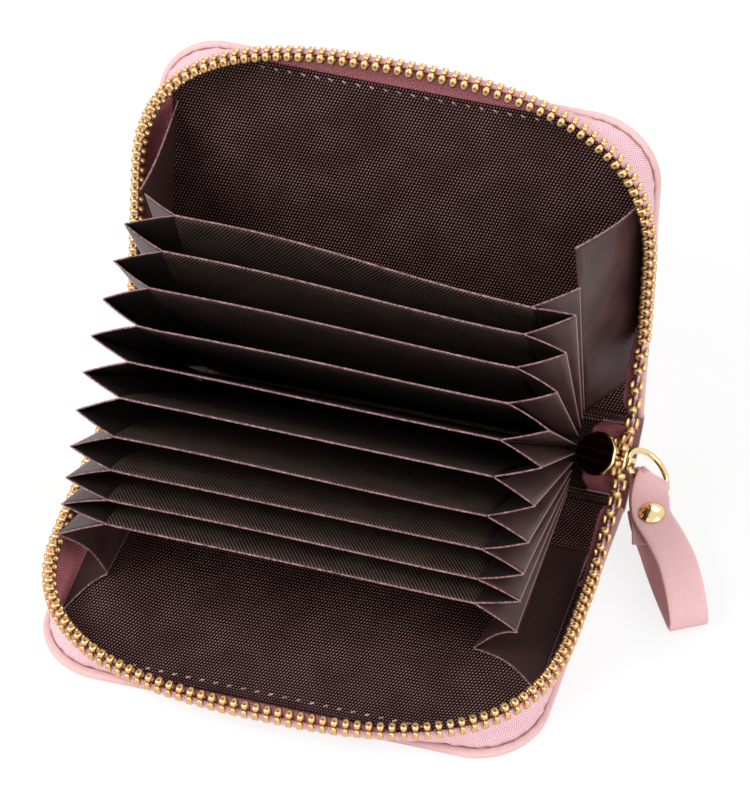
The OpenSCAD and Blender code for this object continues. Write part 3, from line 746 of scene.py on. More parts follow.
foot_through = through + np.array([4 * math.sin(YAW) - 0.4, 4 * math.cos(YAW)])
share = np.arange(1, BENDS + 1) / BENDS
start = foot_through[2]
foot_bend = np.stack([start[0] + (FOOT_X - start[0]) * (1 - np.cos(share * math.pi / 2)),
                      start[1] + (BEND_Y - start[1]) * share], -1)
foot_side = np.stack([np.full(SIDES, FOOT_X), side_y], -1)
corner_s = running_length(np.concatenate([side[-1:], corner]))
foot_total = FOOT_CY - ZIP_CORNER_Y + FOOT_R * math.pi / 2 + COVER_W / 2 - CORNER_R
foot_corner = foot_line_at(foot_total * corner_s[1:] / corner_s[-1])
foot_left = foot_corner[:-1][::-1] * [-1, 1]
foot_left_side = np.stack([np.full(SIDES + 1, -FOOT_X), left_y], -1)
FOOT = np.concatenate([foot_through, foot_bend, foot_side, foot_corner, foot_left, foot_left_side])
END_L = 27.0
END_S = ZIP_S[np.searchsorted(ZIP_S, END_L)]
print("zip length in mm:", round(ZIP_S[-1], 1))


# %% The lines at any length
def zip_at(s, line=ZIP):
    """Plan position at length s along the zip, on its line or on the foot line."""
    return np.stack([np.interp(s, ZIP_S, line[:, 0]), np.interp(s, ZIP_S, line[:, 1])], -1)


def heading_at(s):
    return unit(zip_at(np.asarray(s) + 0.6) - zip_at(np.asarray(s) - 0.6))


def turned(s):
    """Share of the spine's turn that the stringer's end has already taken at length s."""
    return np.interp(s, (0, 8.6, 11, 14.5, 19, 24), (1, 1, 0.75, 0.42, 0.15, 0))


def parted(s):
    """How far the slider forces each row off the middle of the chain at length s."""
    return np.interp(s, (0, 4.1, 6.3, 12, 24), (0, 0, 1.5, 1.5, 0))


# %% [markdown]
# The tape is a strip of woven cotton: a flange under the lining, a foot on the leather, a
# soft swell and an upright neck that the teeth grip. A smooth curve runs through those five
# places at each step along the zip, and small seeded puckers show where it is gathered.

# %% Zip tapes
TAPE_T, TAPE_TOP, NECK_Z = 0.4, MID_Z - 1.6, MID_Z - 3.4
LINING_TOP, LEATHER_TOP = 2.3, 1.2
PER_SPAN = 4


def tape_faces(s_values, flange):
    """Outer and inner faces of the tape in the closed wallet, with its U and V."""
    outer, inner, uv = [], [], []
    for s in s_values:
        top, foot, t = zip_at(s), zip_at(s, FOOT), heading_at(s)
        out = np.array([-t[1], t[0]])
        part = float(parted(s))
        straight = 1 - float(smooth(8.6, 12.0, s))
        swell = foot + (top - foot) * (0.75 + 0.25 * straight)
        swell_z = MID_Z * 0.45
        on_lining = 1 - float(smooth(16.5, 20.5, s))
        z0 = LEATHER_TOP + 0.25 + (LINING_TOP - LEATHER_TOP) * on_lining
        base = foot - out * (1.0 + (flange - 1.0) * float(smooth(21, 26, s)))
        middle = curve_through([(*base, z0), (*foot, z0), (*swell, swell_z),
                                (*top, NECK_Z - part), (*top, TAPE_TOP - part)], PER_SPAN)
        normal = unit(np.cross(np.gradient(middle, axis=0), (*t, 0)))
        length = running_length(middle)
        share = length / length[-1]
        pucker = 0.1 * np.sin(share * math.pi) ** 2 * (
            math.sin(s * 2 * math.pi / 4.3) + 0.6 * math.sin(s * 2 * math.pi / 2.7 + 1))
        middle = middle + normal * pucker[:, None]
        outer.append(middle + normal * TAPE_T / 2)
        inner.append(middle - normal * TAPE_T / 2)
        uv.append(np.stack([np.full(len(length), s), length], -1))
    return np.array(outer), np.array(inner), np.array(uv)


# %% [markdown] Each row's tape is two pieces. The long one rides on its cover.

# %% Tapes on their covers, and their free ends
def tape(name, first, last, place, body, replaces):
    s = np.linspace(first, last, int((last - first) / 0.7) + 2)
    outer, inner, uv = tape_faces(s, 4.6)
    share = turned(s)
    faces = [np.array([place(line, part) for line, part in zip(face, share)])
             for face in (outer, inner)]
    return finish_piece(slab(name, *faces, uv), zip_tape_cloth, body, "zip_tape", [replaces])


tape("lower_tape", END_S, ZIP_S[-1], on_lower, "lower_cover", "lower_zip_tape")
tape("upper_tape", END_S, ZIP_S[-1], on_upper, "upper_cover", "upper_zip_tape")
lower_tape_end = tape("lower_tape_end", 0, END_S, on_lower, None, "lower_zip_tape_end")
upper_tape_end = tape("upper_tape_end", 0, END_S, on_upper, None, "upper_zip_tape_end")


def end_span(place):
    """Where a stringer's end starts and stops turning with the spine, for blend()."""
    spots = [place(np.array([*zip_at(s), MID_Z - 2.0]), float(turned(s))) for s in (8.0, 21.0)]
    return [tuple(p * MM) for p in spots]


LOWER_SPAN, UPPER_SPAN = end_span(on_lower), end_span(on_upper)
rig.blend(lower_tape_end, "spine", "lower_cover", *LOWER_SPAN)
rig.blend(upper_tape_end, "spine", "upper_cover", *UPPER_SPAN)

# %% [markdown]
# A metal tooth grips the tape with two legs and carries a rounded head with a small dimple.
# There are almost two hundred, so one tooth is modelled and Geometry Nodes set it along the
# zip: a point per tooth carries its turn as an attribute, and the tree instances, realizes
# and colours them. Realizing matters, because the exported model drops instances.

# %% Repeating one small shape with Geometry Nodes
def repeat_tree(name):
    tree = bpy.data.node_groups.new(name, "GeometryNodeTree")
    face = tree.interface.new_socket
    face("Points", in_out="INPUT", socket_type="NodeSocketGeometry")
    face("Shape", in_out="INPUT", socket_type="NodeSocketObject")
    face("Size", in_out="INPUT", socket_type="NodeSocketFloat").default_value = 1.0
    face("Unevenness", in_out="INPUT", socket_type="NodeSocketFloat").default_value = 0.0
    face("Finish", in_out="INPUT", socket_type="NodeSocketMaterial")
    face("Result", in_out="OUTPUT", socket_type="NodeSocketGeometry")

    def add(kind, links=None, **settings):
        made = tree.nodes.new(kind)
        for key, value in settings.items():
            setattr(made, key, value)
        for key, value in (links or {}).items():
            if hasattr(value, "is_output"):
                tree.links.new(value, made.inputs[key])
            else:
                made.inputs[key].default_value = value
        return made

    given = add("NodeGroupInput")
    turn = add("GeometryNodeInputNamedAttribute", {"Name": "turn"}, data_type="FLOAT_VECTOR")
    shape = add("GeometryNodeObjectInfo", {"Object": given.outputs["Shape"]})
    euler = add("FunctionNodeEulerToRotation", {"Euler": turn.outputs["Attribute"]})
    wobble = add("FunctionNodeRandomValue", {"Min": (-1, -1, -1), "Max": (1, 1, 1), "Seed": 7},
                 data_type="FLOAT_VECTOR")
    uneven = add("ShaderNodeVectorMath", {0: wobble.outputs["Value"],
                                          "Scale": given.outputs["Unevenness"]}, operation="SCALE")
    whole = add("ShaderNodeVectorMath", {0: uneven.outputs[0], 1: (1, 1, 1)}, operation="ADD")
    size = add("ShaderNodeVectorMath", {0: whole.outputs[0], "Scale": given.outputs["Size"]},
               operation="SCALE")
    placed = add("GeometryNodeInstanceOnPoints", {
        "Points": given.outputs["Points"], "Instance": shape.outputs["Geometry"],
        "Rotation": euler.outputs[0], "Scale": size.outputs[0]})
    real = add("GeometryNodeRealizeInstances", {"Geometry": placed.outputs[0]})
    finished = add("GeometryNodeSetMaterial", {"Geometry": real.outputs[0],
                                               "Material": given.outputs["Finish"]})
    end = add("NodeGroupOutput")
    tree.links.new(finished.outputs[0], end.inputs[0])
    return tree


# %% Setting a shape at each point
REPEAT = repeat_tree("repeat_along_points")


def repeated(name, shape, places, frames, material, size=1.0, uneven=0.0):
    """One plain mesh of shape set at each place (mm), turned by each frame of three axes."""
    mesh = bpy.data.meshes.new(name + "_points")
    mesh.from_pydata((np.asarray(places) * MM).tolist(), [], [])
    turns = [Matrix(np.asarray(f).T.tolist()).to_euler() for f in frames]
    mesh.attributes.new("turn", "FLOAT_VECTOR", "POINT").data.foreach_set(
        "vector", np.array([tuple(t) for t in turns], np.float32).ravel())
    holder = bpy.data.objects.new(name + "_points", mesh)
    bpy.context.scene.collection.objects.link(holder)
    mod = holder.modifiers.new("repeat", "NODES")
    mod.node_group = REPEAT
    ids = {i.name: i.identifier for i in REPEAT.interface.items_tree if i.in_out == "INPUT"}
    mod[ids["Shape"]], mod[ids["Size"]] = shape, size
    mod[ids["Unevenness"]], mod[ids["Finish"]] = uneven, material
    seen = bpy.context.evaluated_depsgraph_get()
    made = bpy.data.meshes.new_from_object(holder.evaluated_get(seen), depsgraph=seen)
    bpy.data.objects.remove(holder)
    made.name = name
    made.polygons.foreach_set("material_index", [0] * len(made.polygons))
    made.materials.clear()
    made.materials.append(material)
    obj = bpy.data.objects.new(name, made)
    bpy.context.scene.collection.objects.link(obj)
    return obj


# %% [markdown]
# The tooth is a loft: rounded layers stacked from its two legs to its head, each with a width
# and a thickness of its own. The two rows stand half a pitch apart, so that their teeth mesh.

# %% Lofted shapes
def loft_parts(layers, sides):
    """Rounded layers (height, half width, half thickness, shift, tone), stacked and capped; tone is the share of
    painted shade.
    """
    turn = (np.arange(sides) + 0.5) / sides * 2 * math.pi
    c, s = np.cos(turn), np.sin(turn)
    c, s = np.sign(c) * np.abs(c) ** 0.7, np.sign(s) * np.abs(s) ** 0.7
    verts = np.concatenate([np.stack([h * c, y0 + w * s, np.full(sides, z)], -1)
                            for z, w, h, y0, _ in layers])
    n = len(layers)
    faces = grid_faces(n, sides, 0, False, True)
    faces += [tuple(range(sides - 1, -1, -1)), tuple(range((n - 1) * sides, n * sides))]
    return verts, faces, np.zeros((len(verts), 2)), np.repeat([l[4] for l in layers], sides)


# %% One tooth, then two rows of them
# The last value of each layer is its share of painted shade: under the head, in its dimple and at the tops of the legs.
head = [(-0.7, 0.85, 0.44, 0, 0.5), (-0.1, 0.98, 0.62, 0, 0.1), (0.35, 1.12, 0.8, 0, 0),
        (0.75, 0.96, 0.66, 0, 0), (0.88, 0.6, 0.42, 0, 0), (0.74, 0.28, 0.2, 0, 0.6)]
leg = [(-2.5, 0.42, 0.86, 0, 0), (-2.1, 0.52, 0.8, 0, 0), (-0.5, 0.66, 0.5, 0, 0.2)]
tooth_parts = [loft_parts(head, 8)]
for across in (-1, 1):
    v, f, t, tone = loft_parts(leg, 4)
    tooth_parts.append((v + [0, across * 0.98, 0], f, t, tone))
tooth_shape = make_object("tooth_shape", *joined(tooth_parts))
print("faces of one tooth:", len(tooth_shape.data.polygons))

PITCH = 2.4
TOOTH_COUNT = int((ZIP_S[-1] - 3) / PITCH)


def tooth_row(name, upper, ended, body):
    """One row of teeth, or only the few on its free end, by the slider."""
    s = 1 + (np.arange(TOOTH_COUNT) + (0.5 if upper else 0.0)) * PITCH
    s = s[(s < END_L) == ended]
    place = on_upper if upper else on_lower
    spots, frames = [], []
    for v in s:
        share = float(turned(v))
        spot = np.array([*zip_at(v), MID_Z - float(parted(v))])
        t = heading_at(v)
        z = np.array([0, 0, -1.0 if upper else 1.0])
        x = np.array([t[0], t[1], 0.0])
        turn = HALF_TURN * ((2 - share) if upper else share)
        axes = swung(np.array([x, np.cross(z, x), z]), (0, 0), turn)
        spots.append(place(spot, share))
        frames.append(axes)
    row = repeated("teeth_" + name, tooth_shape, spots, frames, tooth_gold, uneven=0.02)
    return finish_piece(row, tooth_gold, body, "gold_teeth", [name])


tooth_row("lower_zip_teeth", False, False, "lower_cover")
tooth_row("upper_zip_teeth", True, False, "upper_cover")
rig.blend(tooth_row("lower_zip_teeth_end", False, True, None), "spine", "lower_cover", *LOWER_SPAN)
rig.blend(tooth_row("upper_zip_teeth_end", True, True, None), "spine", "upper_cover", *UPPER_SPAN)
bpy.data.objects.remove(tooth_shape)
print("teeth in each row:", TOOTH_COUNT)

# %% [markdown]
# Each cover is three layers: leather outside, a stiff board, and the dotted lining. The
# leather is turned in along its edge, so its rim is a soft bead a little thicker than the
# rest, gathered into small notches round the corners. A grid that follows the rounded
# outline, closed by a half-round rim, gives that form without any boolean cuts.

# %% Cover sheets
def edge_distance(x, y):
    """How far a point of a cover lies inside the leather's edge."""
    qx, qy = np.abs(x) - (COVER_W / 2 - CORNER_R), -y - (COVER_H - CORNER_R)
    round_part = CORNER_R - np.hypot(np.maximum(qx, 0), np.maximum(qy, 0))
    return np.where((qx > 0) & (qy > 0), round_part,
                    np.minimum(COVER_W / 2 - np.abs(x), COVER_H + y))


# %% [markdown]
# The rows of the grid narrow round the corners. The columns lie close together along the
# sides, where the hem needs more points, and rings of points close the rim.

# %% A plate with a soft rim
def plate_parts(inset, z_lo, z_hi, back_y, edge_r, lift_top, lift_bottom, nu=64, rows=30, bows=18):
    """A plate inset from the leather's edge; two functions of (x, y) lift its faces."""
    cy, r = -(COVER_H - CORNER_R), CORNER_R - inset - edge_r
    a = np.arange(1, bows + 1) / bows * math.pi / 2
    y = np.concatenate([np.linspace(back_y, cy, rows), cy - r * np.sin(a)])
    w = COVER_W / 2 - CORNER_R + np.concatenate([np.full(rows, r), r * np.cos(a)])
    near = np.array([0, 0.25, 0.45, 0.7, 0.95, 1.2, 1.5, 2.2, 3.4])
    inner = np.linspace(-1, 1, nu)
    x = np.stack([np.concatenate([-h + near[:-1], (h - near[-1]) * inner, h - near[:-1][::-1]])
                  for h in w])
    yy = np.repeat(y[:, None], x.shape[1], 1)
    nv, nc = x.shape
    z_top, z_bottom = z_hi + lift_top(x, yy), z_lo + lift_bottom(x, yy)
    top = np.stack([x, yy, z_top], -1).reshape(-1, 3)
    bottom = np.stack([x, yy, z_bottom], -1).reshape(-1, 3)
    n = nv * nc
    loop = ([i * nc for i in range(nv)] + [(nv - 1) * nc + j for j in range(1, nc)]
            + [i * nc + nc - 1 for i in range(nv - 2, -1, -1)])
    turn = np.concatenate([np.zeros(rows), a])
    left = np.stack([-np.cos(turn), -np.sin(turn)], -1)
    normal = np.concatenate([left, np.tile([0, -1.0], (nc - 2, 1)), (left * [-1, 1])[::-1]])
    rings, steps = [], 8
    for k in range(1, steps):
        phi = math.pi / 2 - math.pi * k / steps
        flat = top[loop][:, :2] + normal * edge_r * math.cos(phi)
        z = (z_top.ravel()[loop] + z_bottom.ravel()[loop]) / 2 + (
            z_top.ravel()[loop] - z_bottom.ravel()[loop]) / 2 * math.sin(phi)
        rings.append(np.column_stack([flat, z]))
    verts = np.concatenate([top, bottom, *rings])
    faces = grid_faces(nv, nc) + grid_faces(nv, nc, n)
    chain = [np.array(loop)] + [2 * n + k * len(loop) + np.arange(len(loop))
                                for k in range(steps - 1)] + [np.array(loop) + n]
    for upper, lower in zip(chain, chain[1:]):
        faces += [(upper[i], lower[i], lower[i + 1], upper[i + 1]) for i in range(len(loop) - 1)]
    faces += [(j, j + 1, n + j + 1, n + j) for j in range(nc - 1)]
    faces += [tuple(c[0] for c in chain), tuple(c[-1] for c in chain)]
    uv = verts[:, :2].copy()
    return verts, faces, uv, np.zeros(len(verts))


# %% [markdown]
# Small lifts turn the plain plate into leather: the turned-in bead with its gathers, a line
# of painted shade in the groove where the tape's foot meets it, and faces that aren't quite flat.

# %% Hem, seam and swell
def hem(x, y):
    """The turned-in bead along the leather's edge, with gathers round the corners."""
    d = edge_distance(x, y)
    bead = 1 - smooth(1.2, 2.6, d)
    round_corner = smooth(0, 4, np.minimum(np.abs(x) - 36, -y - 54))
    along = np.arctan2(-y - 50, np.abs(x) - 34)
    gather = round_corner * (0.5 + 0.5 * np.cos(along * 46)) ** 3
    return 0.36 * bead * (1 - 0.6 * gather)


def seam_shade(v):
    """Painted shade: a dark line on the leather's inner side, in the groove where the tape's foot meets its rim."""
    d = edge_distance(v[:, 0], v[:, 1])
    return np.where(v[:, 2] > 0.9, np.clip(1 - np.abs(d - 1.25) / 0.3, 0, 1), 0)


def drawn_out(v, side, mouth, corner):
    """Moves a sheet's right side, mouth edge and corners outwards by so many millimetres."""
    away = mouth + (corner - mouth) * smooth(30, 44, np.abs(v[:, 0]))
    return np.column_stack([v[:, 0] + side * smooth(30, 50, v[:, 0]),
                            v[:, 1] - away * smooth(20, 60, -v[:, 1]), v[:, 2]])


def flat(x, y):
    """No lift at all, in the shape of x."""
    return 0 * x


def swell_out(x, y):
    """The padded upper cover bulges a little on its outside."""
    d = edge_distance(x, y)
    return (-0.35 * smooth(0, 12, d) * smooth(0, 8, -y)
            + 0.05 * ripple(x, y, 22, 5) * smooth(0, 8, d))


def wavy_lining(seed):
    """The lining lies flat where it is sewn and a little unevenly further in."""
    def lift(x, y):
        d = edge_distance(x, y)
        waves = 0.16 * ripple(x, y, 34, seed) + 0.05 * ripple(x, y, 12, seed + 1)
        return waves * smooth(3.6, 9, d)
    return lift


# %% [markdown]
# The covers differ in a few values only, so one loop makes both. In the photograph the lower
# lining creeps out over its tape at the mouth and curls up a little there.

# %% Both covers
LINING_INSET, LINING_SEEDS = 3.5, {"lower": 11, "upper": 23}
for part, place, swell, out, cloth_out, curl in (
        ("lower", on_lower, flat, 0.7, 2.9, 1.1), ("upper", on_upper, swell_out, 0.0, 1.3, 0.0)):
    body = part + "_cover"
    v, f, t, _ = plate_parts(0, 0, LEATHER_TOP, -FOLD_GAP, 0.8, hem, swell, bows=42)
    v = drawn_out(v, 0, out, out)
    finish_piece(make_object(part + "_leather", place(v), f, t, seam_shade(v)),
                 pink_leather, body, "outer_leather", [part + "_cover_leather"])
    v, f, t, tone = plate_parts(LINING_INSET, 1.9, LINING_TOP, -FOLD_GAP, 0.18,
                                wavy_lining(LINING_SEEDS[part]), flat, rows=60)
    t = t * [1, 1 if part == "lower" else -1]
    inside = edge_distance(v[:, 0], v[:, 1]) - LINING_INSET
    near_mouth = smooth(2, 0, inside) * smooth(50, 66, -v[:, 1])
    near_mouth = near_mouth * (1 - smooth(30, 44, np.abs(v[:, 0])))
    v = drawn_out(v, 1.5, cloth_out, 1.0) + near_mouth[:, None] * [0, 0, curl]
    finish_piece(make_object(part + "_lining", place(v), f, t, tone),
                 dotted_lining, body, "lining", [part + "_cover_lining"])
    board = frame["nodes"][part + "_cover_board"]
    board.data.materials.clear()
    board.data.materials.append(grey_board)
    points = [len(bpy.data.objects[part + word].data.vertices) for word in ("_leather", "_lining")]
    print(part, "cover, points of its leather and lining:", *points)

# %% [markdown]
# The spine is the same leather, and at each fold it rolls round a soft edge. Three pieces
# make it: the spine panel, and two short strips that bend between their two bodies, so that
# nothing opens when the wallet is zipped shut.

# %% Strips along the spine
LEATHER_X = np.linspace(-COVER_W / 2, COVER_W / 2, 57)
LINING_X = np.linspace(-COVER_W / 2 + LINING_INSET, COVER_W / 2 - LINING_INSET, 41)
BINDING_X = np.linspace(-40, 40, 31)


def strip(name, x, outer_yz, inner_yz, place, material, slot, body=None, replaces=()):
    """A strip along x from two lines of (y, z), the outer and the inner one."""
    def face(line):
        line = np.asarray(line, float)
        return np.stack([np.repeat(x[:, None], len(line), 1),
                         np.repeat(line[None, :, 0], len(x), 0),
                         np.repeat(line[None, :, 1], len(x), 0)], -1)
    top, bottom = face(outer_yz), face(inner_yz)
    uv = np.stack([top[..., 0], np.repeat(running_length(top[0])[None], len(x), 0)], -1)
    piece = slab(name, place(top), place(bottom), uv)
    return finish_piece(piece, material, body, slot, replaces)


def in_spine(y, z):
    """A point of the closed spine, seen from the lower cover at rest (y, z)."""
    p = swung(pts((0, y, z)), LOWER_FOLD, HALF_TURN)[0]
    return p[1], p[2]


# %% The spine and its two folds
spine_z = np.linspace(FOLD_R + FOLD_GAP, CLOSED_T - FOLD_R - FOLD_GAP, 15)
belly = 0.25 * np.sin((spine_z - spine_z[0]) / (spine_z[-1] - spine_z[0]) * math.pi)
strip("spine_panel", LEATHER_X, np.stack([FOLD_R + belly, spine_z], -1),
      np.stack([np.full(15, -0.2), spine_z], -1), on_spine, pink_leather, "outer_leather",
      "spine", ["spine_leather"])
roll = np.radians(np.linspace(-90, -90 + HALF_TURN, 9))
outer = ([(-FOLD_GAP, 0.0), (-0.6, 0.0)]
         + [(math.cos(a) * FOLD_R, FOLD_R + math.sin(a) * FOLD_R) for a in roll]
         + [in_spine(FOLD_R, FOLD_R + FOLD_GAP)])
inner = ([(-FOLD_GAP, 1.2), (-0.6, 1.2)] + [
    ((1 - t) * -0.45 + t * in_spine(-0.2, FOLD_R + 0.4)[0],
     (1 - t) * 1.22 + t * in_spine(-0.2, FOLD_R + 0.4)[1]) for t in np.linspace(0, 1, 9)]
    + [in_spine(-0.2, FOLD_R + FOLD_GAP)])
lower_fold = strip("lower_fold", LEATHER_X, outer, inner, at_rest, pink_leather,
                   "outer_leather")


def in_upper(points):
    """The lower fold's section, carried over to the upper fold by the wallet's symmetry."""
    out = []
    for y, z in points:
        p = swung(pts((0, y, CLOSED_T - z)), UPPER_FOLD, HALF_TURN)
        q = swung(p, LOWER_FOLD, HALF_TURN)[0]
        out.append((q[1], q[2]))
    return out


upper_fold = strip("upper_fold", LEATHER_X, in_upper(outer), in_upper(inner), at_rest,
                   pink_leather, "outer_leather")
low = Vector((0, ORIGIN_Y - FOLD_GAP, FOLD_R)) * MM
low_end = Vector((0, ORIGIN_Y + in_spine(0, FOLD_R + FOLD_GAP)[0],
                  in_spine(0, FOLD_R + FOLD_GAP)[1])) * MM
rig.blend(lower_fold, "lower_cover", "spine", tuple(low), tuple(low_end))
high = on_upper(pts((0, -FOLD_GAP, FOLD_R)))[0] * MM
high_start = on_spine(pts((0, 0, CLOSED_T - FOLD_R - FOLD_GAP)))[0] * MM
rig.blend(upper_fold, "spine", "upper_cover", tuple(high_start), tuple(high))

# %% [markdown]
# Inside, the lining crosses the folds and the spine in the same way. A corded band of leaf
# cloth binds the feet of the leaves to it.

# %% Lining of the spine, binding of the leaves
cloth_y, cloth_z = in_spine(-0.7, 2.9)
cloth_low = [(-1.9, 2.36)] + [
    (-1.5 + t * (cloth_y + 1.5), 2.36 - 0.5 * math.sin(t * math.pi) + t * (cloth_z - 2.36))
    for t in np.linspace(0, 1, 9)]
cloth_top = [(y, z + 0.22) for y, z in cloth_low]
for name, lower_face, upper_face, span, pair in (
        ("lower_fold_lining", cloth_low, cloth_top, (low, low_end), ("lower_cover", "spine")),
        ("upper_fold_lining", in_upper(cloth_low), in_upper(cloth_top), (high_start, high),
         ("spine", "upper_cover"))):
    cover_strip = strip(name, LINING_X, lower_face, upper_face, at_rest, dotted_lining, "lining")
    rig.blend(cover_strip, *pair, tuple(span[0]), tuple(span[1]))

lining_z = np.linspace(2.2, CLOSED_T - 2.2, 9)
# The lining of the spine takes the darker copy of the dotted lining: painted shade.
strip("spine_inside", LINING_X, np.stack([np.full(9, -0.25), lining_z], -1),
      np.stack([np.full(9, -0.65) - 0.05 * np.sin(lining_z), lining_z], -1), on_spine,
      spine_cloth, "lining", "spine", ["spine_lining"])
base_z = np.linspace(3.4, 16.6, 27)
strip("leaf_binding", BINDING_X, np.stack([np.full(27, -0.72), base_z], -1),
      np.stack([-1.45 - 0.18 * np.cos((base_z - 3.4) * 2 * math.pi / 1.3), base_z], -1), on_spine,
      leaf_cloth, "leaf_cloth", "spine", ["leaf_base_tape"])

# %% [markdown]
# The ten leaves are double layers of lining cloth, sewn to the spine and free at the front.
# Their folded free edges show the lighter yarn as a fine rope. The top three sag at the
# right, as the photograph shows. A leaf flattens as the wallet is zipped, so that the sag
# never reaches its neighbour. The folds between the leaves are drawn back at their tips,
# straight away from the camera, so that the tips fit inside the zip's corners when shut.

# %% Leaves
LEAF_ANGLES = (73, 67, 61, 55, 49.5, 44, 38, 33, 28.5, 25)
LEAF_H, LEAF_W, LEAF_T, LEAF_BASE, LEAF_PITCH = 66.0, 80.0, 0.5, 2.0, 1.3
LEAF_COUNT = len(LEAF_ANGLES)
REACH_STEPS = 36
TIP_X, TIP_BASE_X, GUSSET_T, GUSSET_START = 49.5, 43.5, 0.22, 5.0
WING_ANGLE, FLAP_ANGLE = 80, 19


def base_at(i):
    """Foot of leaf i on the spine, or of the fold at a half number."""
    z = MID_Z + LEAF_PITCH * ((LEAF_COUNT + 1) / 2 - i)
    return swung(pts((0, -LEAF_BASE, z)), LOWER_FOLD, HALF_TURN)[0]


def leaf_angle(i):
    return WING_ANGLE if i < 1 else FLAP_ANGLE if i > LEAF_COUNT else LEAF_ANGLES[i - 1]


def ray(base, angle, x, reach, lift=0.0):
    """A point at reach from a foot, along a leaf at this angle."""
    a = math.radians(angle)
    x, reach, lift = np.broadcast_arrays(*(np.asarray(v, float) for v in (x, reach, lift)))
    return np.stack([x, base[1] - reach * math.cos(a) + lift * math.sin(a) + ORIGIN_Y,
                     base[2] + reach * math.sin(a) + lift * math.cos(a)], -1)


LEAF_DRIFT = (1.7, 1.2, 0.4, 0, -0.4, -0.7, -0.7, -0.4, -0.2, 0)
FOLD_DRIFT = (1.2, 1.6, 1.6, 1.2, 0.5, 0.4, 0.4, 0.3, 0.2, 0, 0)


def leaf_spot(i, x, reach, lift=0.0):
    """A point of leaf i: x across, reach from its foot, lift off its face."""
    x, reach = np.asarray(x, float), np.asarray(reach, float)
    drift = LEAF_DRIFT[i - 1] * reach / LEAF_H * (0.5 - x / LEAF_W)
    return ray(base_at(i), leaf_angle(i), x + drift, reach, lift + leaf_sag(i, x, reach))


CAMERA_AT = np.array(camera.matrix_world.translation) / MM
TIP_SUNK = 4.5


def sunk(spot, by):
    """Moves a point straight away from the camera, which leaves the picture as it is."""
    spot = np.asarray(spot, float)
    return spot + unit(spot - CAMERA_AT) * np.asarray(by, float)[..., None]


def fold_spot(k, x, reach):
    """A point of the fold between leaf k and the next."""
    mean = (leaf_angle(k) + leaf_angle(k + 1)) / 2
    x, rise = np.asarray(x, float), np.asarray(reach, float) / LEAF_H
    left = np.where(x < 0, 1.0, 0.0)
    spot = ray(base_at(k + 0.5), mean, x + FOLD_DRIFT[k] * rise * left, reach, 0.5 * rise * left)
    return sunk(spot, TIP_SUNK * rise ** 3)


SAG = {1: -4.2, 2: -1.8, 3: -0.7}


def leaf_sag(i, x, reach):
    """How far leaf i stands off its plane: the top leaves droop towards the right end."""
    x, reach = np.asarray(x, float), np.asarray(reach, float)
    rise = np.clip(reach / LEAF_H, 0, 1) ** 1.6
    droop = 0.6 + (SAG.get(i, 0.0) - 0.6) * smooth(-30, 42, x)
    wave = 0.22 * ripple(x, reach * 0.6, 60, 40 + i) * (1 - smooth(36, 40, np.abs(x)))
    return rise * (droop + wave)


# %% [markdown]
# The rope of a folded edge is a row of short, slanted beads, set by the tree that set the
# teeth. They are joined to the leaf's own mesh, but keep their lighter yarn.

# %% Rope edges
bead = [(-0.34, 0.05, 0.05, 0, 0), (-0.16, 0.17, 0.17, 0, 0), (0.16, 0.17, 0.17, 0, 0),
        (0.34, 0.05, 0.05, 0, 0)]
bead_shape = make_object("bead_shape", *loft_parts(bead, 6))


def rope(name, paths, material, twist=0.5, step=0.5, size=1.0):
    """Short twisted beads along each path, as the yarn of a folded cloth edge shows."""
    spots, frames = [], []
    for path in paths:
        s = running_length(path)
        at = np.arange(step / 2, s[-1], step)
        line = np.stack([np.interp(at, s, path[:, k]) for k in range(3)], -1)
        along = unit(np.gradient(line, axis=0))
        for p, t in zip(line, along):
            side_way = unit(np.cross(t, (0.13, -0.35, 0.93)))
            lean = unit(t * math.cos(twist) + side_way * math.sin(twist))
            third = unit(np.cross(lean, np.cross(t, side_way)))
            spots.append(p)
            frames.append([np.cross(third, lean), third, lean])
    return repeated(name, bead_shape, spots, frames, material, size=size, uneven=0.12)


def join_into(obj, extra):
    """Adds the extra mesh to obj, keeping its own material."""
    bm = bmesh.new()
    bm.from_mesh(obj.data)
    first = len(bm.faces)
    bm.from_mesh(extra.data)
    bm.faces.ensure_lookup_table()
    for face in bm.faces[first:]:
        face.material_index = 1
    bm.to_mesh(obj.data)
    bm.free()
    obj.data.materials.append(extra.data.materials[-1])
    bpy.data.objects.remove(extra)


# %% Ten leaves
leaf_x = np.linspace(-LEAF_W / 2, LEAF_W / 2, 49)
leaf_r = np.linspace(0, LEAF_H, 34)
grid_x, grid_r = np.meshgrid(leaf_x, leaf_r, indexing="ij")
half_t = LEAF_T / 2 * (1 - 0.5 * smooth(LEAF_H - 1.2, LEAF_H, grid_r))
LEAF_KEEP = 0.12


def flatten(obj, i):
    """Lays what is sewn to leaf i flat against it while the wallet is zipped shut."""
    a = math.radians(leaf_angle(i))
    base = base_at(i) + [0, ORIGIN_Y, 0]
    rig.squash(obj, f"leaf_{i}_fold", (0, math.sin(a), math.cos(a)), tuple(base * MM), LEAF_KEEP)


for i in range(1, LEAF_COUNT + 1):
    leaf = slab(f"leaf_{i}", leaf_spot(i, grid_x, grid_r, half_t),
                leaf_spot(i, grid_x, grid_r, -half_t), np.stack([grid_x, grid_r], -1))
    finish_piece(leaf, leaf_cloth, None, "leaf_cloth", [f"divider_{i}"])
    edge_path = leaf_spot(i, leaf_x, np.full(len(leaf_x), LEAF_H))
    join_into(leaf, rope(f"leaf_edge_{i}", [edge_path], edge_yarn))
    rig.ride(leaf, f"divider_{i}")
    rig.sheet(leaf, flat=(LEAF_W * MM, LEAF_H * MM), held="folded", rests_on=["leaf_binding"])
    if i in SAG:
        flatten(leaf, i)
print("leaves:", LEAF_COUNT)

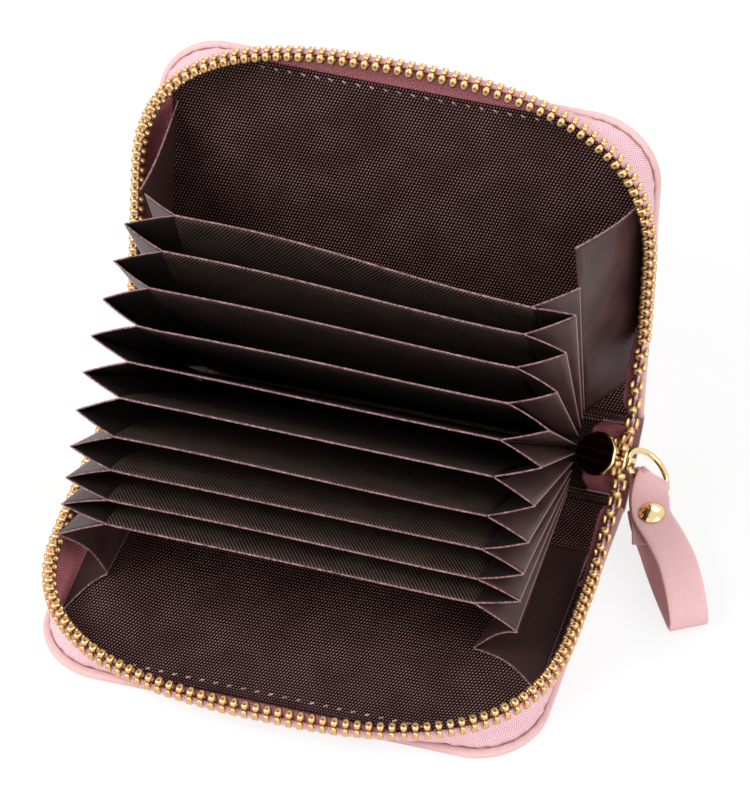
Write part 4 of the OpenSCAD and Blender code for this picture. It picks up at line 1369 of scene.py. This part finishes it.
# %% [markdown]
# At both sides the leaves are joined by a gusset, a cloth that folds in and out like the
# bellows of an accordion. Its outside is a smooth satin and its pocket side the dark dotted
# lining, painted darker in the gussets for the shade inside the pockets. Each half panel runs
# from a leaf's side edge to the fold halfway to the next leaf.
# A thin painted highlight shows where the cloth is creased, and the front edge is bound with yarn.

# %% Gusset cloth
def gusset_weave(name, pocket_dark, pocket_light):
    look = Look(name)
    u, v = look.uv()
    satin_mm, dot_mm = 0.3, 0.6
    fine = 1 - ((u + v) / satin_mm).fract() * 2
    other = 1 - ((u - v) / satin_mm).fract() * 2
    sheen = (fine.abs() + other.abs()) * 0.5
    cloud = look.noise(120, 3).ramp(0.25, 0.75)
    satin = look.mix(cloud, rgb(46, 26, 27), rgb(72, 45, 46))
    # The satin's crosshatch, mixed towards a lighter colour: a woven pattern with a painted sheen on it.
    satin = look.mix(sheen.ramp(0.5, 0.95) * 0.4, satin, rgb(132, 104, 106))
    dot = (u / dot_mm).off_middle() + (v / dot_mm).off_middle()
    pocket = look.mix((1 - dot.ramp(0.12, 0.42)) * 0.6, pocket_dark, pocket_light)
    cloth = look.mix(look.face(), satin, pocket)
    # Painted highlight: a light line along the crease, where the fold catches the light.
    crease = 1 - v.ramp(0.12, 0.34)
    colour = look.mix(crease * 0.8, cloth, rgb(150, 116, 116))
    bump = look.bump(sheen * 0.4 + crease * 1.4, 0.35, 0.07)
    return look.finish(colour, 0.42 + look.face() * 0.3, bump, Specular_IOR_Level=0.2)


# The gussets' pocket side is painted far darker than the lining, as painted shade inside the pockets; the wings' pocket
# side is lighter.
gusset_cloth = gusset_weave("gusset_cloth", rgb(16, 7, 7), rgb(84, 62, 60))
wing_cloth = gusset_weave("wing_cloth", rgb(48, 27, 26), rgb(98, 71, 67))
PANEL_T = GUSSET_T / 2


# %% Gusset panels
def leaf_normal(i):
    a = math.radians(leaf_angle(i))
    return np.array([0, math.sin(a), math.cos(a)])


def blended(a, b, t):
    return a[:, None] * (1 - t[None, :, None]) + b[:, None] * t[None, :, None]


def panel_uv(grid):
    """U along the leaf's reach and V away from the fold, both in millimetres."""
    reach = running_length(grid[:, 0]) + GUSSET_START
    width = np.linalg.norm(grid[:, -1] - grid[:, 0], axis=1)
    share = np.linspace(1, 0, grid.shape[1])
    return np.stack([np.repeat(reach[:, None], grid.shape[1], 1), width[:, None] * share], -1)


def half_panel(i, away, side):
    """The two faces of one half panel: above or below leaf i, at its left or right edge."""
    k = i - 1 if away > 0 else i
    w, t = np.linspace(0, 1, REACH_STEPS), np.linspace(0, 1, 7)
    tip, reach = (47.5, 61.0 if side > 0 else 64.0) if k == 0 else (TIP_X, LEAF_H + 0.5)
    n = leaf_normal(i)
    at_leaf = leaf_spot(i, side * (LEAF_W / 2 + 0.03), GUSSET_START + (LEAF_H - GUSSET_START) * w,
                        away * (LEAF_T / 4 + GUSSET_T / 4))
    at_fold = fold_spot(k, side * (TIP_BASE_X + (tip - TIP_BASE_X) * w),
                        GUSSET_START + (reach - GUSSET_START) * w) + n * away * 0.03
    grid = blended(at_leaf, at_fold, t)
    wave = ripple(w * 60, i * 7 + side, 26, 3 + i)[:, None]
    soft = np.sin(t * math.pi)[None] * w[:, None] * (0.2 + 0.12 * wave)
    grid = grid - soft[..., None] * away * n
    return grid, grid - away * n * PANEL_T


for i in range(1, LEAF_COUNT + 1):
    panels, edges = [], []
    for side in (-1, 1):
        for away in (-1, 1):
            pocket, outside = half_panel(i, away, side)
            panels.append(slab_parts(outside, pocket, panel_uv(pocket)))
            edges.append((outside[-1] + pocket[-1]) / 2)
    piece = make_object(f"gusset_cloth_{i}", *joined(panels))
    area = sum(f.area for f in piece.data.polygons) / 2
    finish_piece(piece, gusset_cloth, None, "gusset_cloth", [f"gusset_{i}"])
    join_into(piece, rope(f"gusset_edge_{i}", edges, edge_yarn, size=0.9))
    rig.ride(piece, f"divider_{i}")
    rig.sheet(piece, flat=(4 * 9.6 * MM, 61.5 * MM), held="folded",
             rests_on=[f"leaf_{i}"], area=area)
    flatten(piece, i)
print("gusset panels:", 4 * LEAF_COUNT)

# %% [markdown]
# The outermost panels of the gussets run on to the covers, where they are sewn down. They
# hold the covers at the width they open to. The lower pair is folded once more and lies on
# the lining. Zipped shut, all of them lie flat, which a squash towards the lining stands for.

# %% Wings
def lower_spot(x, reach, height):
    return at_rest(pts((x, -reach, height)))[0]


def upper_spot(x, reach, height):
    return on_upper(pts((x, -reach, height)))[0]


def fold_line(k, x, last_x, last_reach):
    """Follows fold k from its root to its tip."""
    return fold_spot(k, np.linspace(x, last_x, REACH_STEPS),
                     np.linspace(GUSSET_START, last_reach, REACH_STEPS))


def line_between(a, b):
    w = np.linspace(0, 1, REACH_STEPS)[:, None]
    return np.asarray(a) * (1 - w) + np.asarray(b) * w


def wing_panel(first, second, lift, seed, soft, hollow=0.0):
    """A panel between two lines; lift is its thickness, hollow draws its free edge back."""
    t = np.linspace(0, 1, 13)
    w = np.linspace(0, 1, len(first))
    grid = blended(first, second, t)
    bulge = np.sin(t * math.pi)[None] * w[:, None]
    along = unit(grid[-1:] - grid[:1])
    grid = grid - along * (hollow * bulge * w[:, None] ** 3)[..., None]
    wave = ripple(w[:, None] * 50, t[None] * 22, 24, seed)
    grid = grid + (soft * bulge * (0.7 + 0.5 * wave))[..., None] * unit(lift)
    return grid, grid + np.asarray(lift)


# %% Four wings
TOP_UP = unit(upper_spot(0, 20, 5) - upper_spot(0, 20, 0))
LONG_TIP_SUNK = 5


def wing(name, panels, body, joint, axis, anchor):
    """Its flat size is 62 mm long and as wide as its area asks for, with 15% for the seams."""
    parts = [slab_parts(outer_face, inner_face, panel_uv(outer_face))
             for inner_face, outer_face in panels]
    piece = make_object(name + "_cloth", *joined(parts))
    area = sum(f.area for f in piece.data.polygons) / 2
    finish_piece(piece, wing_cloth, None, "gusset_cloth", [name])
    edges = [(a[-1] + b[-1]) / 2 for a, b in panels]
    join_into(piece, rope(name + "_edge", edges, edge_yarn))
    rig.ride(piece, body)
    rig.sheet(piece, flat=(area * 1.15 / 0.062, 0.062), held="folded",
             rests_on=[body.replace("_cover", "_lining")], area=area)
    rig.squash(piece, joint, tuple(axis), tuple(np.asarray(anchor) * MM), 0.08)
    print(name, "in square mm:", round(area / MM ** 2))


for side, word, fold_x, fold_reach, cover_reach, hollow in (
        (-1, "left", 48, 65, 57.5, 2.6), (1, "right", 47.7, 77.5, 56, 0.8)):
    near = pts((side * 0.15, 0.1, 0.1))[0]
    fold = fold_line(0, side * TIP_BASE_X, side * fold_x, fold_reach) + near
    if side > 0:
        reach = np.linspace(GUSSET_START, fold_reach, REACH_STEPS)
        fold = sunk(fold, LONG_TIP_SUNK * smooth(61, fold_reach, reach))
    c = upper_spot(side * (52.4 if side > 0 else 50.2), cover_reach, LINING_TOP + 0.15)
    d = upper_spot(side * (52.4 if side > 0 else 51), 12 if side > 0 else 8, LINING_TOP + 0.15)
    panel = wing_panel(fold, line_between(d, c), (side * 0.2, 0, 0), 31 + side, 0.5, hollow)
    wing(f"upper_{word}_wing", [panel], "upper_cover", "cover_fold", TOP_UP,
         upper_spot(0, 0, LINING_TOP + 0.1))
for side, word, fold_x, fold_reach, cover_reach in (
        (-1, "left", 45, 48, 60), (1, "right", 35.5, 47.5, 55)):
    fold = fold_line(LEAF_COUNT, side * (TIP_BASE_X + 0.4), side * (TIP_X + 0.2), LEAF_H + 0.5)
    fold = fold + pts((0, -0.05, -0.14))[0]
    c = lower_spot(side * fold_x, fold_reach, LINING_TOP + 1)
    near = 16 if side > 0 else 8
    d = lower_spot(side * 42, near, LINING_TOP + 0.5)
    e = lower_spot(side * 51.5, cover_reach, LINING_TOP + 0.2)
    f = lower_spot(side * 51.5, near, LINING_TOP + 0.2)
    crease, sewn, under = line_between(d, c), line_between(f, e), pts((0, 0, -0.05))[0]
    high = wing_panel(fold, crease, (0, 0, 0.2), 51 + side, 0.3, 2.0)
    low = wing_panel(crease + under, sewn + under, (0, 0, -0.15), 61 + side, 0.0, 2.0)
    wing(f"lower_{word}_wing", [high, low], "lower_cover", "leaf_10_fold", (0, 0, 1),
         (0, 0, LINING_TOP + 0.05))

# %% [markdown]
# The slider is two polished plates joined by a post, with rails that guide the two rows of
# teeth. A bridge arches over the outer plate and holds the pull ring. Its inner plate is
# dark and mirror-like in the photograph, with a bright rim at the mouth: it is the same gold
# with painted shade and a painted dark reflection. The plates are built as rings of one
# outline, drawn in a little at each level, which gives a true bevel.

# %% Slider
def on_slider(p):
    p = np.asarray(p, float)
    c, s = math.cos(-YAW), math.sin(-YAW)
    return on_spine(np.stack([SLIDER_X + c * p[..., 0] - s * p[..., 1],
                              SLIDER_Y + s * p[..., 0] + c * p[..., 1], MID_Z + p[..., 2]], -1))


SLIDER_W, TAIL_W, PLATE_Y = 9.4, 7.6, 1.65


def plate_outline(n=72):
    """The plate's outline round its middle: a round tail, wide shoulders, a flat mouth."""
    a = np.arange(n) / n * 2 * math.pi
    c, s = np.cos(a), np.sin(a)
    reach = np.zeros(n)
    for cx, r in ((-SLIDER_L / 2 + TAIL_W / 2, TAIL_W / 2), (SLIDER_L / 2 - 4.5, SLIDER_W / 2)):
        reach = np.maximum(reach, cx * c + np.sqrt(np.maximum(r * r - (cx * s) ** 2, 0)))
    mouth_reach = np.where(c > 0, (SLIDER_L / 2) / np.maximum(c, 1e-6), 99)
    return np.stack([c, s], -1), np.minimum(reach, mouth_reach)


def levelled_plate(levels):
    """A plate of the slider from levels of (inset, height, tone); tone is the share of painted shade."""
    spoke, reach = plate_outline()
    n = len(reach)
    verts = np.concatenate([
        np.stack([spoke[:, 0] * (reach - d), np.full(n, h), spoke[:, 1] * (reach - d)], -1)
        for d, h, _ in levels])
    faces = grid_faces(len(levels), n, 0, False, True)
    faces += [tuple(range(n)), tuple(range((len(levels) - 1) * n, len(levels) * n))]
    return verts, faces, np.zeros((len(verts), 2)), np.repeat([l[2] for l in levels], n)


def block_parts(lo, hi, bevel, tone=0.0):
    """A small block with bevelled edges; tone is its share of painted shade."""
    (x0, y0, z0), (x1, y1, z1) = lo, hi
    verts = []
    for z, d in ((z0, bevel), (z0 + bevel, 0), (z1 - bevel, 0), (z1, bevel)):
        for x, y in ((x0 + d + bevel, y0 + d), (x1 - d - bevel, y0 + d), (x1 - d, y0 + d + bevel),
                     (x1 - d, y1 - d - bevel), (x1 - d - bevel, y1 - d), (x0 + d + bevel, y1 - d),
                     (x0 + d, y1 - d - bevel), (x0 + d, y0 + d + bevel)):
            verts.append((x, y, z))
    faces = grid_faces(4, 8, 0, False, True) + [tuple(range(8)), tuple(range(24, 32))]
    return np.array(verts), faces, np.zeros((32, 2)), np.full(32, tone)


def tube_parts(path, radius, turns=10, up_hint=(0, 0, 1.0), closed=False, flat=1.0, power=1.0):
    """A round or slightly squared bar along a path."""
    path = np.asarray(path, float)
    if closed:
        along = unit(np.roll(path, -1, 0) - np.roll(path, 1, 0))
    else:
        along = unit(np.gradient(path, axis=0))
    across = unit(np.cross(along, up_hint))
    up_dir = np.cross(across, along)
    a = np.arange(turns) / turns * 2 * math.pi
    c, s = np.cos(a), np.sin(a)
    prof = np.stack([radius * np.sign(c) * np.abs(c) ** power,
                     radius * flat * np.sign(s) * np.abs(s) ** power], -1)
    return sweep_parts(path, across, up_dir, prof, closed)


# %% [markdown]
# Two rails run round the mouth, a post joins the plates, and four lips stand at the tail.
# The inner plate keeps its darker gold, painted shade and painted dark reflection, when it is joined to the rest.

# %% Putting the slider together
# The inner plate is the same gold made darker: painted shade and a painted dark reflection.
dark_bronze = gold("dark_bronze", rgb(88, 58, 38), rgb(52, 32, 20), 0.12, 0.08)
# The lowest levels of the outer plate carry painted shade along its underside.
outer_levels = [(0.4, 1.66, 0.4), (0.1, 1.7, 0.2), (0, 1.85, 0), (0, 2.25, 0), (0.12, 2.42, 0),
                (0.4, 2.54, 0), (1.4, 2.62, 0), (3.2, 2.66, 0)]
inner_levels = [(d, -h, 0.0) for d, h, _ in outer_levels]
spoke, reach = plate_outline()
lip_at = np.r_[60:72, 0:13]
body_parts = [levelled_plate(outer_levels)]
for y in (-2.1, 2.1):
    lip = np.stack([spoke[lip_at, 0] * (reach[lip_at] - 0.28), np.full(len(lip_at), y),
                    spoke[lip_at, 1] * (reach[lip_at] - 0.28)], -1)
    body_parts.append(tube_parts(lip, 0.46, 10, (0, 1.0, 0)))
# The post between the plates and the four blocks at the tail carry painted shade.
body_parts.append(block_parts((SLIDER_L / 2 - 2.1, -PLATE_Y - 0.1, -0.45),
                              (SLIDER_L / 2 - 0.8, PLATE_Y + 0.1, 0.45), 0.15, 0.3))
for z in (-1, 1):
    for y in (-1, 1):
        mid_y = y * (PLATE_Y - 0.5)
        body_parts.append(block_parts(
            (-SLIDER_L / 2 + 1.5, mid_y - 0.55, z * 3.5 - 0.25),
            (-SLIDER_L / 2 + 5.5, mid_y + 0.55, z * 3.5 + 0.25), 0.1, 0.2))
v, f, t, tone = joined(body_parts)
slider_piece = make_object("slider_plates", on_slider(v), f, t, tone)
slider_piece.data.materials.append(bright_gold)
v, f, t, tone = levelled_plate(inner_levels)
inner_plate = make_object("slider_inner_plate", on_slider(v), f, t, tone)
inner_plate.data.materials.append(dark_bronze)
join_into(slider_piece, inner_plate)
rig.ride(slider_piece, "slider")
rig.slot(slider_piece, "gold")
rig.replaces(slider_piece, "slider_body")

arch = curve_through([(-2.55, 2.45, 0), (-2.55, 4.4, 0), (-2.3, 5.4, 0), (-1.5, 5.8, 0),
                      (1.0, 5.8, 0), (3.6, 5.8, 0), (4.9, 5.3, 0), (5.85, 4.2, 0),
                      (5.95, 3.0, 0), (5.95, 2.3, 0), (5.5, 2.25, 0)], 5)
v, f, t, tone = tube_parts(arch, 0.35, 12, (0, 0, 1.0), flat=2.0, power=0.55)
bridge_piece = make_object("slider_arch", on_slider(v), f, t, tone)
finish_piece(bridge_piece, bright_gold, "slider", "gold", ["slider_bridge"])
print("slider box in mm:", np.ptp(on_slider(v), axis=0).round(1).tolist())

# %% [markdown]
# The pull ring is a closed D of gold wire whose straight bar holds the strap. Its frame comes
# from two directions: along the bar, and up through the middle of the arc.

# %% Pull ring
RING_R, RING_LEG, WIRE_D = 5.3, 2.4, 1.3
ring_bar, ring_up = unit((0.72, 0.21, -0.66)), unit((-0.27, 0.96, 0.01))
ring_normal = np.cross(ring_bar, ring_up)
ring_centre = pts((58.9, 3.7 + ORIGIN_Y, 8.8))[0]
bar_centre = ring_centre - RING_LEG * ring_up


def on_ring(x, y, z=0.0):
    x, y = np.asarray(x, float)[..., None], np.asarray(y, float)[..., None]
    return ring_centre + x * ring_bar + y * ring_up + z * ring_normal


arc = np.radians(np.linspace(0, 180, 31))
turn_in = np.radians(np.linspace(0, 90, 6)[1:])
corner_r = 0.7
in_x, in_y = corner_r * (1 - np.cos(turn_in)), -RING_LEG + corner_r * (1 - np.sin(turn_in))
wire_x = np.concatenate([RING_R * np.cos(arc), [-RING_R], -RING_R + in_x, [-2.0, 2.0],
                         (RING_R - in_x)[::-1], [RING_R]])
wire_y = np.concatenate([RING_R * np.sin(arc), [-RING_LEG + corner_r], in_y,
                         [-RING_LEG, -RING_LEG], in_y[::-1], [-RING_LEG + corner_r]])
wire = tube_parts(on_ring(wire_x, wire_y), WIRE_D / 2, 12, ring_normal, True, 1.0, 0.85)
finish_piece(make_object("ring_wire", *wire), bright_gold, "pull_ring", "gold", ["pull_ring"])
print("ring wire length in mm:", round(float(running_length(on_ring(wire_x, wire_y))[-1]), 1))

# %% [markdown]
# The strap is a strip of the same leather, folded round the ring's bar and closed by a
# rivet, with a loop that hangs to the table. It isn't a cloth or a cord but a stiff strip,
# so its centre line is listed point by point through the places where it bends.

# %% Pull strap
STRAP_W, STRAP_T = 8.2, 1.0
strap_heading, strap_side = unit((0.488, -0.873, 0)), unit((0.873, 0.488, 0))


def strap_place(p):
    p = np.asarray(p, float)
    return (np.array([bar_centre[0], bar_centre[1], 0]) + p[..., :1] * strap_heading
            + p[..., 1:2] * strap_side + p[..., 2:] * [0, 0, 1.0])


turn_r = WIRE_D / 2 + 0.2 + STRAP_T / 2
turn_x = unit(strap_heading - strap_heading @ ring_bar * ring_bar)
turn_y = np.cross(turn_x, ring_bar)
round_bar = [bar_centre + 0.5 * ring_bar + turn_r * (math.cos(a) * turn_x + math.sin(a) * turn_y)
             for a in np.radians(np.arange(-75, -274, -33))]
tail = [(15.5, -3, 6.7), (13, -2.4, 7.7), (10, -1.8, 8.25), (6, -1.3, 8.2)]
loop = [(4.5, -0.4, 10), (10, -1.5, 9.6), (16, -0.4, 9.7), (23, 0.6, 9.6), (28.5, 0.7, 8.6),
        (33, 0.5, 6.6), (35.2, 0.3, 4.4), (35.4, 0.1, 2.6), (33.8, 0, 1.3), (30, -0.2, 0.85),
        (24, -0.6, 0.9), (19, -1.1, 2.5), (16, -1.5, 4.6), (13.5, -1.9, 6.2), (10, -2.1, 6.9),
        (6.5, -1.8, 7)]
strap_line = np.concatenate([strap_place(tail), round_bar, strap_place(loop)])
strap_path = curve_through(strap_line, 8)


def strap_frame(path):
    """Directions along, across and out of the strap, which turns from the ring's bar."""
    away = (path - bar_centre) @ strap_heading
    t = np.clip((away - 1) / 6, 0, 1)[:, None]
    lean = unit(ring_bar * (1 - t) + strap_side * t)
    along = unit(np.gradient(path, axis=0))
    across = unit(lean - (lean * along).sum(-1, keepdims=True) * along)
    return along, across, np.cross(along, across)


along, across, up_dir = strap_frame(strap_path)
half_w, half_h, soft_r = STRAP_W / 2, STRAP_T / 2, 0.3
edge = np.radians(np.linspace(90, -90, 7))
right_side = np.stack([half_w - soft_r + soft_r * np.cos(edge), half_h * np.sin(edge)], -1)
flat_x = np.linspace(half_w - soft_r, -half_w + soft_r, 9)[1:-1]
section = np.concatenate([right_side, np.stack([flat_x, np.full(7, -half_h)], -1),
                          right_side[::-1] * [-1, 1],
                          np.stack([flat_x[::-1], np.full(7, half_h)], -1)])
verts, faces, _, _ = sweep_parts(strap_path, across, up_dir, section)
rings = len(strap_path)
s = np.repeat(running_length(strap_path), len(section))
uv = np.stack([s, np.tile(section[:, 0] + half_w, rings)], -1)
inner_side = np.tile((section[:, 1] < 0).astype(float), rings)
strap = make_object("strap_leather_strip", verts, faces, uv, inner_side)
finish_piece(strap, strap_leather, "pull_strap", "strap_leather", ["pull_strap"])
print("strap length in mm:", round(float(running_length(strap_path)[-1]), 1))

# %% [markdown]
# The rivet is round, so its cap, shank and washer are profiles of radius and height turned
# about one axis, as on a lathe. It stands square to the strap where it goes through.

# %% Rivet
rivet_place = strap_place((10, -1.5, 9.6))
lean = strap_frame(np.array([rivet_place, rivet_place + strap_heading]))[1][0]
rivet_across = unit(lean)
rivet_along = unit(strap_heading - strap_heading @ rivet_across * rivet_across)
rivet_up = np.cross(rivet_along, rivet_across)
CAP_Z, DOME_R, DOME_H, CAP_R, POST_R, POST_L, BACK_R = 0.7, 4.2, 1.1, 2.8, 0.9, 5.6, 2.5


def dome(z):
    """Radius of the rivet's domed cap at height z."""
    return math.sqrt(max(DOME_R ** 2 - (z - CAP_Z - DOME_H + DOME_R) ** 2, 0))


steps = np.linspace(0.12, 0.98, 9)
cap = [(0, CAP_Z), (CAP_R - 0.5, CAP_Z), (CAP_R - 0.12, CAP_Z + 0.03), (CAP_R, CAP_Z + 0.1)]
cap += [(min(CAP_R, dome(CAP_Z + h * DOME_H)), CAP_Z + h * DOME_H) for h in steps]
cap += [(0, CAP_Z + DOME_H)]
post = [(0, CAP_Z - POST_L + 0.8), (POST_R, CAP_Z - POST_L + 0.8), (POST_R, CAP_Z), (0, CAP_Z)]
low = CAP_Z - POST_L
seat = [(0, low), (BACK_R - 0.8, low), (BACK_R - 0.15, low + 0.12), (BACK_R, low + 0.3),
        (BACK_R - 0.05, low + 0.65), (BACK_R - 0.25, low + 0.8), (0, low + 0.8)]
for name, profile in (("rivet_cap", cap), ("rivet_post", post), ("rivet_back", seat)):
    part = lathe_parts(profile, rivet_place, rivet_up, rivet_across)
    finish_piece(make_object(name + "_turned", *part), bright_gold, "pull_strap", "gold", [name])
print("rivet height in mm:", round(CAP_Z + DOME_H - low, 1))

# %% [markdown]
# A metal clamp ends each row of teeth at the far left: a short flat bar bent over the tape.

# %% Zip stops
clamp = curve_through([(-0.95, 0.2, 0), (-0.95, 1.2, 0), (-0.7, 1.85, 0), (0, 2.05, 0),
                       (0.7, 1.85, 0), (0.95, 1.2, 0), (0.95, 0.2, 0)], 4)[:, [0, 2, 1]]
for part, place in (("lower", on_lower), ("upper", on_upper)):
    v, f, t, tone = tube_parts(clamp, 0.55, 12, (0, 1.0, 0), flat=2.0, power=0.5)
    v = place(v + [-ZIP_X, LEFT_END_Y - 1.4, MID_Z - 3])
    finish_piece(make_object(part + "_stop_clamp", v, f, t, tone), tooth_gold, part + "_cover",
                 "gold_teeth", [part + "_zip_stop"])

# %% [markdown]
# A row of stitches holds each lining near the wallet's mouth. One short thread is modelled,
# and the tree that set the teeth sets the stitches too.

# %% Stitches
thread = [(-0.55, 0.06, 0.06, 0, 0), (-0.4, 0.18, 0.15, 0, 0), (0, 0.22, 0.18, 0, 0),
          (0.4, 0.18, 0.15, 0, 0), (0.55, 0.06, 0.06, 0, 0)]
stitch_shape = make_object("stitch_shape", *loft_parts(thread, 6))
slant = math.radians(24)
for part, place, inset in (("lower", on_lower, 3.4), ("upper", on_upper, 3.3)):
    x = np.arange(-32, 37.1, 3.0)
    y = np.full(len(x), -COVER_H + inset)
    z = LINING_TOP + 0.12 + wavy_lining(LINING_SEEDS[part])(x, y)
    spots = place(np.stack([x, y, z], -1))
    row_x, row_y, row_z = (place(pts(a))[0] - place(pts((0, 0, 0)))[0]
                           for a in ((1, 0, 0), (0, 1, 0), (0, 0, 1)))
    along = row_x * math.cos(slant) + row_y * math.sin(slant)
    axes = [np.cross(row_z, along), row_z, along]
    row = repeated(part + "_stitches", stitch_shape, spots, [axes] * len(x), seam_thread,
                   uneven=0.1)
    finish_piece(row, seam_thread, part + "_cover", "lining")
print("stitches in each row:", len(x))
for helper in (stitch_shape, bead_shape):
    bpy.data.objects.remove(helper)

# %% [markdown]
# The wallet stands on a white sweep. The floor takes the object's shadow, but to the camera
# it also glows, so that it stays white without more light on the leather. The world works in
# the same way: white where it is looked at, and dimmer as a light. Three large soft lamps
# add the rest, and all of them together light the object so that its colours are true.

# %% What is seen, and what gives light
WHITE, PAPER = (1, 1, 1, 1), (0.92, 0.92, 0.92, 1)
FLOOR_GLOW, WORLD_LIGHT = 0.8, 0.48


def looked_at(look):
    """1 for a ray from the camera or one by way of metal or glass, and 0 for light."""
    rays = look.node("ShaderNodeLightPath").socket.node.outputs
    seen = Value(look, rays["Is Camera Ray"])
    for kind in ("Is Glossy Ray", "Is Transmission Ray"):
        seen = (seen + Value(look, rays[kind])).upto(1.0)
    return seen


# %% White floor
paper = Look("white_paper")
matt = paper.node("ShaderNodeBsdfDiffuse", sockets={"Color": PAPER})
glow = paper.node("ShaderNodeEmission", sockets={"Color": WHITE, "Strength": 1.0})
mixed = paper.node("ShaderNodeMixShader",
                   sockets={0: looked_at(paper) * FLOOR_GLOW, 1: matt, 2: glow})
paper.node("ShaderNodeOutputMaterial", sockets={"Surface": mixed})
floor = make_object("floor", [(-900, -900, -0.05), (900, -900, -0.05), (900, 900, -0.05),
                              (-900, 900, -0.05)], [(0, 1, 2, 3)], smooth_shaded=False)
if floor.data.polygons[0].normal.z < 0:
    floor.data.flip_normals()
floor.data.materials.append(paper.made)
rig.stage(floor)

# %% World light
studio = Look("studio", bpy.data.worlds)
fill, white = (studio.node("ShaderNodeBackground", sockets={"Color": WHITE, "Strength": strength})
               for strength in (WORLD_LIGHT, 1.0))
mixed = studio.node("ShaderNodeMixShader", sockets={0: looked_at(studio), 1: fill, 2: white})
studio.node("ShaderNodeOutputWorld", sockets={"Surface": mixed})
bpy.context.scene.world = studio.made

# %% Lamps
LAMPS_AIM = Vector((0, 0.02, 0.03))
for name, place, size, power in (("key", (-0.5, -0.35, 0.72), 0.5, 6.6),
                                 ("fill", (0.6, -0.3, 0.5), 0.6, 3.2),
                                 ("back", (0.1, 0.7, 0.6), 0.5, 2.6)):
    lamp = bpy.data.lights.new(name, "AREA")
    lamp.energy, lamp.size = power, size
    holder = bpy.data.objects.new(name, lamp)
    holder.location = place
    holder.rotation_euler = (LAMPS_AIM - Vector(place)).to_track_quat("-Z", "Y").to_euler()
    bpy.context.scene.collection.objects.link(holder)
bpy.context.scene.view_settings.view_transform = "Standard"
print("lamps:", len(bpy.data.lights))

# %% [markdown] Last, the box round all that is shown is measured next to the solid model's
# box.

shown_lo, shown_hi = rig.bounds()
with open("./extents.json", "w") as sizes:
    json.dump({"cad": [list(map(float, solid_lo)), list(map(float, solid_hi))],
               "visual": [list(map(float, shown_lo)), list(map(float, shown_hi))]}, sizes)
print("visual box in mm:", [round((b - a) * 1000, 1) for a, b in zip(shown_lo, shown_hi)])
